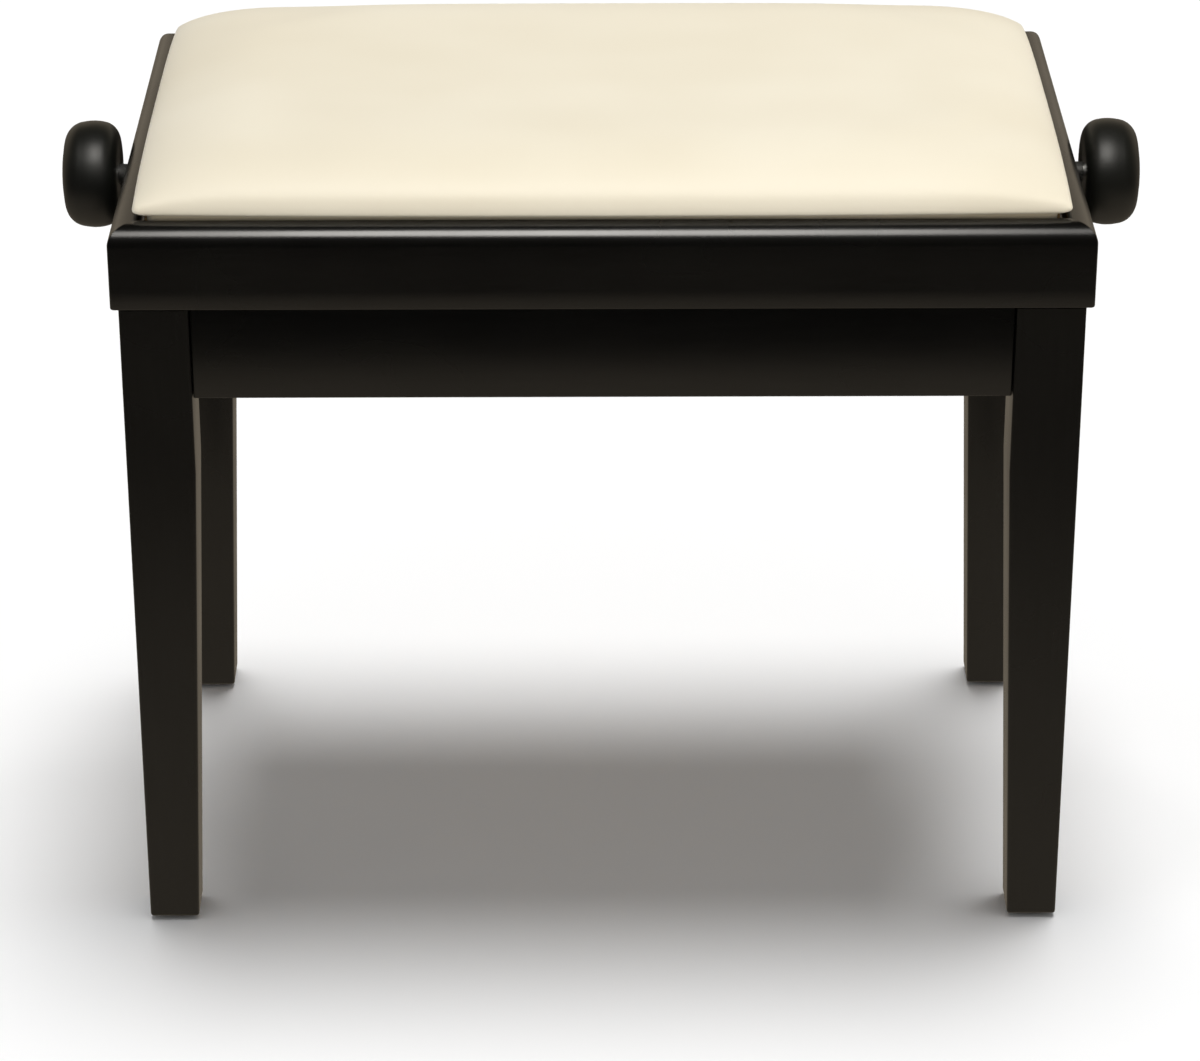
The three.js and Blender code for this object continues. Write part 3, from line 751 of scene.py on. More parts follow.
@dataclass
class Studio:
    """The camera, the lamps and the floor."""

    eye: Point = (-0.0110, -2.4235, 1.3627)
    heading: float = 0.237  # degrees to the right of +Y
    tilt: float = 25.95  # degrees below level
    roll: float = 0.062
    lens_mm: float = 129.08
    floor_half: float = 30.0
    floor_white: float = 0.96
    lamp_aim: Point = (0.0, -0.10, 0.45)
    window_place: Point = (-0.05, -1.21, 2.83)
    window_size: Flat = (0.9, 1.5)
    window_watts: float = 72.0
    window_tone: str = "#fffcf6"
    ceiling_place: Point = (0.35, 0.05, 2.95)
    ceiling_size: Flat = (1.3, 1.3)
    ceiling_watts: float = 47.0
    ceiling_tone: str = "#fffdf8"
    fill_place: Point = (1.5, -3.0, 0.95)
    fill_size: Flat = (2.4, 1.0)
    fill_watts: float = 25.0
    fill_tone: str = "#fff2d8"
    sky_tilt: float = 8.2  # degrees that the floor's light leans back
    sky_lean: float = 3.6  # degrees that it leans right
    sky_spread: float = 28.0  # its apparent width in degrees
    sky_strength: float = 2.48
    ambient: float = 0.30  # the air's light on matt surfaces
    wall_front: float = 0.03  # what glossy surfaces mirror above the horizon, in front of the bench
    ground_back: float = 0.30  # and below the horizon, behind it
    warm: str = "#ffeed4"

    def build(self) -> None:
        """Set up the whole studio."""
        self.add_camera()
        self.add_lamps(self.add_floor())
        self.add_surround()
        bpy.context.scene.view_settings.view_transform = "Standard"

    def add_camera(self) -> None:
        """Aim a long lens at the bench from above its front."""
        data = bpy.data.cameras.new("camera")
        data.lens = self.lens_mm
        data.sensor_width = 36.0
        camera = bpy.data.objects.new("camera", data)
        aim = (
            Matrix.Rotation(-math.radians(self.heading), 4, "Z")
            @ Matrix.Rotation(math.radians(90 - self.tilt), 4, "X")
            @ Matrix.Rotation(-math.radians(self.roll), 4, "Z")
        )
        camera.matrix_world = Matrix.Translation(self.eye) @ aim
        bpy.context.scene.collection.objects.link(camera)
        bpy.context.scene.camera = camera

    def add_floor(self) -> bpy.types.Object:
        """Lay a matt white floor that glossy pieces don't mirror and that is clear from below.

        Returns:
            The floor.
        """
        bm = bmesh.new()
        bmesh.ops.create_grid(bm, x_segments=8, y_segments=8, size=self.floor_half)
        mesh = bpy.data.meshes.new("studio_floor")
        bm.to_mesh(mesh)
        bm.free()
        floor = bpy.data.objects.new("studio_floor", mesh)
        bpy.context.scene.collection.objects.link(floor)
        paint = bpy.data.materials.new("studio_floor")
        paint.use_nodes = True
        tree = paint.node_tree
        shader = tree.nodes["Principled BSDF"]
        shader.inputs["Base Color"].default_value = (*[self.floor_white] * 3, 1.0)
        shader.inputs["Roughness"].default_value = 1.0
        shader.inputs["Specular IOR Level"].default_value = 0.0
        side = add_node(tree, "ShaderNodeNewGeometry")
        clear = add_node(tree, "ShaderNodeBsdfTransparent")
        sides = {0: (side, "Backfacing"), 1: (shader, 0), 2: (clear, 0)}
        mix = add_node(tree, "ShaderNodeMixShader", None, sides)
        tree.links.new(mix.outputs[0], tree.nodes["Material Output"].inputs["Surface"])
        mesh.materials.append(paint)
        floor.visible_glossy = False
        return floor

    def add_lamps(self, floor: bpy.types.Object) -> None:
        """Hang the bench's three soft boxes and the sky that casts its shadow on the floor.

        Args:
            floor: The studio's floor.
        """
        ceiling = self.soft_box("ceiling", self.ceiling_size, self.ceiling_watts, self.ceiling_tone)
        self.hang(ceiling, self.aimed(self.ceiling_place), floor, "EXCLUDE").visible_glossy = False
        fill = self.soft_box("fill", self.fill_size, self.fill_watts, self.fill_tone)
        self.hang(fill, self.aimed(self.fill_place), floor, "EXCLUDE").visible_glossy = False
        window = self.soft_box("window", self.window_size, self.window_watts, self.window_tone)
        self.hang(window, self.aimed(self.window_place), floor, "EXCLUDE").visible_diffuse = False
        sky = bpy.data.lights.new("sky", "SUN")
        sky.angle = math.radians(self.sky_spread)
        sky.energy = self.sky_strength
        lean = Matrix.Rotation(math.radians(self.sky_lean), 4, "Y")
        self.hang(sky, lean @ Matrix.Rotation(-math.radians(self.sky_tilt), 4, "X"), floor, "INCLUDE")

    def soft_box(self, name: str, size: Flat, watts: float, tone: str) -> bpy.types.Light:
        """Make a rectangular soft box.

        Args:
            name: The lamp's name.
            size: Its width and height.
            watts: Its power.
            tone: Its hex colour.

        Returns:
            The lamp.
        """
        lamp = bpy.data.lights.new(name, "AREA")
        lamp.shape = "RECTANGLE"
        lamp.size, lamp.size_y = size
        lamp.energy = watts
        lamp.color = linear(tone)[:3]
        return lamp

    def aimed(self, place: Point) -> Matrix:
        """Give the matrix of a lamp at a place that points at the seat."""
        aim = Vector(self.lamp_aim) - Vector(place)
        return Matrix.Translation(place) @ aim.to_track_quat("-Z", "Y").to_matrix().to_4x4()

    def hang(
        self, lamp: bpy.types.Light, place: Matrix, floor: bpy.types.Object, state: str
    ) -> bpy.types.Object:
        """Hang a lamp that lights only the floor, or everything but the floor.

        Args:
            lamp: The lamp.
            place: Where it hangs and how it is turned.
            floor: The studio's floor.
            state: INCLUDE to light only the floor, EXCLUDE to leave it out.

        Returns:
            The object that holds the lamp.
        """
        holder = bpy.data.objects.new(lamp.name, lamp)
        holder.matrix_world = place
        bpy.context.scene.collection.objects.link(holder)
        receivers = bpy.data.collections.new(f"lit_by_{lamp.name}")
        receivers.objects.link(floor)
        receivers.collection_objects[0].light_linking.link_state = state
        holder.light_linking.receiver_collection = receivers
        return holder

    def add_surround(self) -> None:
        """Light the air: white to the camera, even to matt surfaces, and shaped for glossy ones."""
        world = bpy.data.worlds.new("studio")
        bpy.context.scene.world = world
        world.use_nodes = True
        tree = world.node_tree
        tree.nodes.clear()
        place = add_node(tree, "ShaderNodeTexCoord")
        split = add_node(tree, "ShaderNodeSeparateXYZ", None, {0: (place, "Generated")})
        smooth = {"interpolation_type": "SMOOTHSTEP"}
        spans = {
            "low": ("Z", -0.10, 0.04, 0.0, 1.0),  # above the horizon
            "wall": ("Z", 0.60, 0.40, self.wall_front, 0.60),  # the lit wall ends above this
            "back": ("Y", -0.10, 0.40, 0.0, 1.0),
            "front": ("Z", -0.38, -0.56, 0.005, 0.50),  # the floor, brighter the nearer it is
        }
        ramps = {}
        for name, (axis, start, end, least, most) in spans.items():
            span = {**smooth, "From Min": start, "From Max": end, "To Min": least, "To Max": most}
            ramps[name] = add_node(tree, "ShaderNodeMapRange", span, {"Value": (split, axis)})
        back, white = (ramps["back"], 0), (1.0, 1.0, 1.0, 1.0)
        walls = {"Factor": back, "B": (ramps["wall"], 0)}
        wall = add_node(tree, "ShaderNodeMix", {"A": self.wall_front}, walls)
        grounds = {"Factor": back, "A": (ramps["front"], 0)}
        ground = add_node(tree, "ShaderNodeMix", {"B": self.ground_back}, grounds)
        halves = {"Factor": (ramps["low"], 0), "A": (ground, 0), "B": (wall, 0)}
        shape = add_node(tree, "ShaderNodeMix", None, halves)
        warm = {"Color": linear(self.warm)}
        gloss = add_node(tree, "ShaderNodeBackground", warm, {"Strength": (shape, 0)})
        even = add_node(tree, "ShaderNodeBackground", {"Color": white, "Strength": self.ambient})
        clean = add_node(tree, "ShaderNodeBackground", {"Color": white, "Strength": 1.0})
        path = add_node(tree, "ShaderNodeLightPath")
        lit = {0: (path, "Is Glossy Ray"), 1: (even, 0), 2: (gloss, 0)}
        seen = add_node(tree, "ShaderNodeMixShader", None, lit)
        last = {0: (path, "Is Camera Ray"), 1: (seen, 0), 2: (clean, 0)}
        mix = add_node(tree, "ShaderNodeMixShader", None, last)
        add_node(tree, "ShaderNodeOutputWorld", None, {"Surface": (mix, 0)})


# ---------------------------------------------------------------- shared shapes


def eased(bm: Mesh, width: float, steps: int = 3, keep: Callable | None = None) -> Mesh:
    """Round a mesh's edges over.

    Args:
        bm: The mesh.
        width: How far each rounding reaches from its edge.
        steps: Segments across each rounding.
        keep: Says of an edge whether it is rounded. Left out, all are.

    Returns:
        The same mesh.
    """
    edges = [edge for edge in bm.edges if keep is None or keep(edge)]
    bmesh.ops.bevel(
        bm, geom=edges, offset=width, segments=steps, profile=0.5, affect="EDGES", clamp_overlap=True
    )
    return bm


def board(low: Sequence[float], high: Sequence[float], ease: float, steps: int = 3) -> Mesh:
    """Build a board, its edges eased by a plane or a sander.

    Args:
        low: Its lowest corner.
        high: Its highest corner.
        ease: The width of the easing.
        steps: Segments across each easing.

    Returns:
        The board's mesh.
    """
    bm = bmesh.new()
    corners = [(low[0], low[1]), (high[0], low[1]), (high[0], high[1]), (low[0], high[1])]
    close_rings(bm, [lift(corners, Along.Z, low[2]), lift(corners, Along.Z, high[2])])
    return eased(bm, ease, steps)


def bar_profile(radius: float, start: float, end: float, chamfer: float) -> list[Flat]:
    """Give the turning profile of a plain bar with chamfered ends.

    Args:
        radius: The bar's radius.
        start: Where it starts.
        end: Where it ends.
        chamfer: The size of its chamfers.

    Returns:
        Points of (radius, station).
    """
    return [
        (0.0, start),
        (radius - chamfer, start),
        (radius, start + chamfer),
        (radius, end - chamfer),
        (radius - chamfer, end),
        (0.0, end),
    ]


def ring_profile(bore: float, radius: float, start: float, end: float, chamfer: float) -> list[Flat]:
    """Give the turning profile of a sleeve or washer, back to its first point.

    Args:
        bore: The radius of its bore.
        radius: Its outer radius.
        start: Where it starts.
        end: Where it ends.
        chamfer: The size of its outer chamfers.

    Returns:
        Points of (radius, station).
    """
    return [
        (bore, start),
        (radius - chamfer, start),
        (radius, start + chamfer),
        (radius, end - chamfer),
        (radius - chamfer, end),
        (bore, end),
        (bore, start),
    ]


def facing(direction: Sequence[float]) -> Matrix:
    """Give the turn that points a piece's +Z along a direction."""
    return Vector(direction).to_track_quat("Z", "Y").to_matrix().to_4x4()


def to_side(profile: Sequence[Flat], side: int) -> list[Flat]:
    """Put a turning profile on one side of the middle, -1 or 1."""
    return [(radius, side * station) for radius, station in profile]


def turned_size(name: str, axis: Along) -> tuple[float, float, float]:
    """Give the size of a turned CAD node that stands off to one side.

    Args:
        name: The CAD node.
        axis: The axis that it is turned about.

    Returns:
        How far from the middle its inner and outer ends are, and its greatest radius.
    """
    low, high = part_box(name)
    inner, outer = sorted((abs(low[axis.value]), abs(high[axis.value])))
    return inner, outer, (high[2] - low[2]) / 2


# ---------------------------------------------------------------- seat frame


@dataclass
class SeatFrame:
    """Four mitred rails with a rounded top edge, and a bore for the spindle's bush in each side rail."""

    corner: float = 2.4 * MM  # plan radius of the outer corners
    round_over: float = 11.0 * MM
    ease: float = 1.0 * MM
    mitre_gap: float = 0.1 * MM
    setback: float = 0.2  # how far the mitre's inside stands back while the corner turns, in corner radii
    bore: float = 8.3 * MM
    bit_half: float = 30.0 * MM  # half the length of the drill that bores it

    def section(self, thick: float, low: float, high: float) -> list[Flat]:
        """Give a rail's section.

        Args:
            thick: The rail's thickness.
            low: The height of its underside.
            high: The height of its top.

        Returns:
            Points of (depth from the outer face, height).
        """
        foot = arc((self.ease, low + self.ease), self.ease, 270, 180, 3)
        sides = [(0.0, low + (high - self.round_over - low) * share) for share in (0.3, 0.7)]
        shoulder = arc((self.round_over, high - self.round_over), self.round_over, 180, 90, 16)
        lip = arc((thick - self.ease, high - self.ease), self.ease, 90, 0, 3)
        return [*foot, *sides, *shoulder, *lip, (thick, low)]

    def rail(self, length: float, section: Sequence[Flat]) -> Mesh:
        """Build a rail along X with its outer face at y = 0, its body at +y and its ends mitred.

        Args:
            length: The outside length of the frame along this rail.
            section: The rail's section.

        Returns:
            The rail's closed mesh.
        """
        tip = length / 2 - self.mitre_gap
        steps = 4
        rings = []
        for step in range(steps + 1):
            angle = math.radians(45) * step / steps
            setback = self.setback * self.corner * (1 - step / steps)
            ring = []
            for depth, height in section:
                radius = max(self.corner - depth, 0.0)
                if radius:
                    x = tip - self.corner + radius * math.sin(angle)
                    y = self.corner - radius * math.cos(angle)
                else:
                    x, y = tip - depth - setback, depth
                ring.append(Vector((x, y, height)))
            rings.append(ring)
        bm = bmesh.new()
        mirrored = [[Vector((-point.x, point.y, point.z)) for point in ring] for ring in reversed(rings)]
        close_rings(bm, [*mirrored, *rings])
        return bm

    def drill(self, piece: bpy.types.Object, x: float) -> None:
        """Bore a side rail through for its bush.

        Args:
            piece: The rail.
            x: Where its outer face is.
        """
        profile = bar_profile(self.bore, -self.bit_half, self.bit_half, 0.0)
        bit = turned(profile, Along.X, (x, 0.0, SPINDLE_HEIGHT), ROUND)
        mesh = bpy.data.meshes.new("drill")
        bit.to_mesh(mesh)
        bit.free()
        drill = bpy.data.objects.new("drill", mesh)
        bpy.context.scene.collection.objects.link(drill)
        cut = piece.modifiers.new("bore", "BOOLEAN")
        cut.object = drill
        cut.operation = "DIFFERENCE"
        cut.solver = "EXACT"
        apply_modifiers(piece)
        bpy.data.objects.remove(drill)
        piece.data.set_sharp_from_angle(angle=math.radians(CREASE))

    def build(self) -> None:
        """Build the four rails and bore the two side ones."""
        low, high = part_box("seat_rail_front")
        side_low, side_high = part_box("seat_rail_right")
        depth = 2 * -low[1]
        length = 2 * side_high[0]
        section = self.section(high[1] - low[1], low[2], high[2])
        for side, quarter in (("front", 0), ("right", 1), ("back", 2), ("left", 3)):
            across = quarter % 2 == 1
            bm = self.rail(depth if across else length, section)
            out = (length if across else depth) / 2
            place = Matrix.Rotation(math.radians(90 * quarter), 4, "Z") @ Matrix.Translation((0, -out, 0))
            bmesh.ops.transform(bm, matrix=place, verts=bm.verts)
            finish = LACQUER[Along.Y if across else Along.X]
            node = f"seat_rail_{side}"
            rail = place_piece(bm, f"rail_{side}", Body.SEAT, finish, [node])
            if across:
                self.drill(rail, out if side == "right" else -out)


def apply_modifiers(piece: bpy.types.Object) -> None:
    """Replace a piece's mesh with what its modifiers make of it, and drop the modifiers.

    Args:
        piece: The piece.
    """
    bpy.context.view_layer.update()
    graph = bpy.context.evaluated_depsgraph_get()
    made = bpy.data.meshes.new_from_object(piece.evaluated_get(graph), depsgraph=graph)
    piece.modifiers.clear()
    old = piece.data
    piece.data = made
    bpy.data.meshes.remove(old)


# ---------------------------------------------------------------- cushion


@dataclass
class Cushion:
    """A foam pad under leatherette: low at its corners, full in the middle, tucked in above the rim.

    Its mesh has stations at near_mm from each edge and about pitch_mm apart between them. Each of its hems
    goes in by a share of the tuck and down by a share of the way to the rim.
    """

    edge_height: float = 459.5 * MM  # the widest level
    rim_height: float = 455.4 * MM
    roll_x: float = 68.0 * MM  # width of the band in which the crown rises, from the ends
    roll_y: float = 66.0 * MM
    power: float = 0.40
    pull_in_x: float = 1.6 * MM  # how far the edges pull in towards the corners
    pull_in_y: float = 3.4 * MM
    bow: float = 2.5  # the power of that curve: a higher one leaves the edges straighter
    corner: float = 4.5 * MM
    tuck: float = 8.0 * MM
    skirt: float = 0.8 * MM  # where the tucked cover turns down, below the rim's level
    hems: tuple[Flat, ...] = ((0.12, 0.28), (0.34, 0.58), (0.64, 0.88), (0.95, 1.0))
    near_mm: tuple[float, ...] = (0.0, 1.2, 2.8, 4.5, 6.5, 9.0, 12.0, 15.5, 19.5, 24.0, 29.0, 34.5)
    pitch_mm: float = 6.0
    swell: float = 1.2 * MM  # how far the cover may move as it fills
    frames: int = 20
    passes: int = 60  # how thoroughly its creases are evened out

    def stations(self, half: float) -> list[float]:
        """Give stations from edge to edge, close together near both edges.

        Args:
            half: Half the way from edge to edge.

        Returns:
            The stations in order.
        """
        inner = half / MM - self.near_mm[-1]
        count = round(2 * inner / self.pitch_mm)
        left = [step - half / MM for step in self.near_mm]
        middle = [-inner + 2 * inner * i / count for i in range(1, count)]
        right = [-x for x in reversed(left)]
        return [x * MM for x in (*left, *middle, *right)]

    def crown(self, inset: float, roll: float) -> float:
        """Give how far the crown has risen, from 0 to 1, at a distance inside the edge."""
        return (1 - (1 - min(max(inset, 0.0) / roll, 1.0)) ** 2) ** self.power

    def plan(self, x: float, y: float, half_x: float, half_y: float) -> Flat:
        """Move a point of the plain rectangle to the cover's real outline.

        Args:
            x: The point's x.
            y: The point's y.
            half_x: Half the length.
            half_y: Half the depth.

        Returns:
            The point, with rounded corners and edges that bow out between them.
        """
        inner_x, inner_y = half_x - self.corner, half_y - self.corner
        a, b = (abs(x) - inner_x) / self.corner, (abs(y) - inner_y) / self.corner
        if a > 0 and b > 0:
            x = math.copysign(inner_x + self.corner * a * math.sqrt(1 - b * b / 2), x)
            y = math.copysign(inner_y + self.corner * b * math.sqrt(1 - a * a / 2), y)
        bow_x = 1 - self.pull_in_x / half_x * abs(y / half_y) ** self.bow
        bow_y = 1 - self.pull_in_y / half_y * abs(x / half_x) ** self.bow
        return x * bow_x, y * bow_y

    def cover(self, half_x: float, half_y: float, low: float, high: float) -> Mesh:
        """Build the closed cover before it swells.

        Args:
            half_x: Half the length at the widest level.
            half_y: Half the depth at the widest level.
            low: The underside's height.
            high: The crown's height.

        Returns:
            The mesh, all quads.
        """
        xs, ys = self.stations(half_x), self.stations(half_y)
        last_x, last_y = len(xs) - 1, len(ys) - 1
        bm = bmesh.new()
        rise = high - self.edge_height
        in_x, in_y = 1 - self.tuck / half_x, 1 - self.tuck / half_y
        top, bottom = {}, {}
        for i, x in enumerate(xs):
            for j, y in enumerate(ys):
                px, py = self.plan(x, y, half_x, half_y)
                height = self.crown(half_x - abs(x), self.roll_x) * self.crown(half_y - abs(y), self.roll_y)
                top[i, j] = bm.verts.new((px, py, self.edge_height + rise * height))
                bottom[i, j] = bm.verts.new((px * in_x, py * in_y, low))
        for i in range(last_x):
            for j in range(last_y):
                cell = [(i, j), (i + 1, j), (i + 1, j + 1), (i, j + 1)]
                bm.faces.new([top[key] for key in cell])
                bm.faces.new([bottom[key] for key in reversed(cell)])
        rim = [(i, 0) for i in range(last_x)] + [(last_x, j) for j in range(last_y)]
        rim += [(i, last_y) for i in range(last_x, 0, -1)] + [(0, j) for j in range(last_y, 0, -1)]
        under = self.edge_height - self.rim_height
        turns = [
            (1 - self.tuck * inset / half_x, 1 - self.tuck * inset / half_y, self.edge_height - under * drop)
            for inset, drop in self.hems
        ]
        turns += [(in_x, in_y, self.rim_height - self.skirt), (in_x, in_y, (self.rim_height + low) / 2)]
        loops = [[top[key] for key in rim]]
        for share_x, share_y, level in turns:
            loops.append([bm.verts.new((top[k].co.x * share_x, top[k].co.y * share_y, level)) for k in rim])
        loops.append([bottom[key] for key in rim])
        for upper, lower in zip(loops, loops[1:]):
            for n, start in enumerate(upper):
                m = (n + 1) % len(upper)
                bm.faces.new((start, lower[n], lower[m], upper[m]))
        return bm

    def fill(self, piece: bpy.types.Object) -> None:
        """Swell the cover with cloth under pressure, held at and below its widest level.

        Args:
            piece: The cushion.
        """
        held = piece.vertex_groups.new(name="held")
        mesh = piece.data
        held.add([v.index for v in mesh.vertices if v.co.z <= self.edge_height + 0.01 * MM], 1.0, "REPLACE")
        rest = [v.co.copy() for v in mesh.vertices]
        cloth = piece.modifiers.new("cover", "CLOTH")
        settings = cloth.settings
        settings.quality = 6
        settings.mass = 0.3
        settings.tension_stiffness = settings.compression_stiffness = 40.0
        settings.shear_stiffness = 20.0
        settings.bending_stiffness = 4.0
        settings.use_pressure = True
        settings.uniform_pressure_force = 4.0
        settings.effector_weights.gravity = 0.0
        settings.vertex_group_mass = held.name
        cloth.collision_settings.use_collision = False
        scene = bpy.context.scene
        for step in range(1, self.frames + 1):
            scene.frame_set(step)
        graph = bpy.context.evaluated_depsgraph_get()
        filled = [v.co.copy() for v in piece.evaluated_get(graph).data.vertices]
        piece.modifiers.clear()
        piece.vertex_groups.clear()
        scene.frame_set(1)
        steps = self.even_out(mesh, [end - start for start, end in zip(rest, filled)])
        moved = 0.0
        for vertex, start, step in zip(mesh.vertices, rest, steps):
            moved = max(moved, step.length)
            if step.length > 0:
                step *= self.swell * math.tanh(step.length / self.swell) / step.length
            vertex.co = start + step
        LOG.info("cushion swelled by up to %.1f mm before its cap", moved / MM)

    def even_out(self, mesh: bpy.types.Mesh, steps: list[Vector]) -> list[Vector]:
        """Take the creases out of the cover, as the foam does.

        Args:
            mesh: The cover's mesh.
            steps: How far each of its vertices moved.

        Returns:
            How far each one moves once its neighbours pull on it. Those that were held stay put.
        """
        near = [[] for _ in mesh.vertices]
        for edge in mesh.edges:
            a, b = edge.vertices
            near[a].append(b)
            near[b].append(a)
        free = [index for index, step in enumerate(steps) if step.length > 0.001 * MM]
        for _ in range(self.passes):
            before = [step.copy() for step in steps]
            for index in free:
                pull = sum((before[other] for other in near[index]), Vector())
                steps[index] = (before[index] + pull / len(near[index])) / 2
        return steps

    def build(self) -> None:
        """Build the cover, fill it and smooth it."""
        low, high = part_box("seat_cushion")
        bm = self.cover(high[0], high[1], low[2], high[2])
        bmesh.ops.recalc_face_normals(bm, faces=bm.faces)
        piece = place_piece(bm, "cushion", Body.SEAT, IVORY, ["seat_cushion"], crease=180)
        self.fill(piece)
        smooth = piece.modifiers.new("smooth", "SUBSURF")
        smooth.levels = smooth.render_levels = 1


# ---------------------------------------------------------------- base


@dataclass
class BaseFrame:
    """Four tapered legs, four aprons set back between them, and the felt on top."""

    top_width: float = 40.0 * MM
    foot_width: float = 29.5 * MM
    taper_from: float = 300.0 * MM
    arris: float = 1.8 * MM  # rounding on the legs' long edges
    level: float = 10.0 * MM  # an edge that rises by less than this isn't a long one
    flat: float = 0.5  # degrees: faces that turn by less than this are joined
    apron_ease: float = 1.0 * MM
    batten_ease: float = 0.8 * MM
    felt_ease: float = 0.6 * MM

    def leg(self, sx: int, sy: int, low: Vector, high: Vector) -> Mesh:
        """Build a leg whose outer faces are plumb and whose inner faces taper to the foot.

        Args:
            sx: The side along X on which the leg stands, -1 or 1.
            sy: The side along Y.
            low: The CAD leg's lowest corner.
            high: The CAD leg's highest corner.

        Returns:
            The leg's mesh.
        """
        out_x, out_y = (high[0] if sx > 0 else low[0]), (high[1] if sy > 0 else low[1])
        levels = ((self.foot_width, low[2]), (self.top_width, self.taper_from), (self.top_width, high[2]))
        rings = []
        for width, z in levels:
            xs, ys = sorted((out_x, out_x - sx * width)), sorted((out_y, out_y - sy * width))
            corners = [(xs[0], ys[0]), (xs[1], ys[0]), (xs[1], ys[1]), (xs[0], ys[1])]
            rings.append(lift(corners, Along.Z, z))
        bm = bmesh.new()
        close_rings(bm, rings)
        bmesh.ops.dissolve_limit(bm, angle_limit=math.radians(self.flat), verts=bm.verts, edges=bm.edges)

        def is_arris(edge: bmesh.types.BMEdge) -> bool:
            """Say whether an edge is one of the long ones or at the foot."""
            heights = [vertex.co.z for vertex in edge.verts]
            return max(heights) - min(heights) > self.level or max(heights) < low[2] + MM

        return eased(bm, self.arris, 4, is_arris)

    def build(self) -> None:
        """Build the legs, the aprons, the battens and the felt."""
        for side, sy in (("front", -1), ("back", 1)):
            for end, sx in (("left", -1), ("right", 1)):
                name = f"leg_{side}_{end}"
                bm = self.leg(sx, sy, *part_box(name))
                place_piece(bm, f"{name}_taper", Body.BASE, LACQUER[Along.Z], [name])
        for side in ("front", "back", "left", "right"):
            along = Along.X if side in ("front", "back") else Along.Y
            name = f"apron_{side}"
            bm = board(*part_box(name), self.apron_ease)
            place_piece(bm, f"{name}_board", Body.BASE, LACQUER[along], [name])
            name = f"felt_strip_{side}"
            bm = board(*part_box(name), self.felt_ease)
            place_piece(bm, f"felt_{side}", Body.BASE, FELT, [name])
        for side in ("front", "back"):
            name = f"base_batten_{side}"
            bm = board(*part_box(name), self.batten_ease)
            place_piece(bm, f"{name}_board", Body.BASE, BEECH[Along.X], [name])


# ---------------------------------------------------------------- spindle


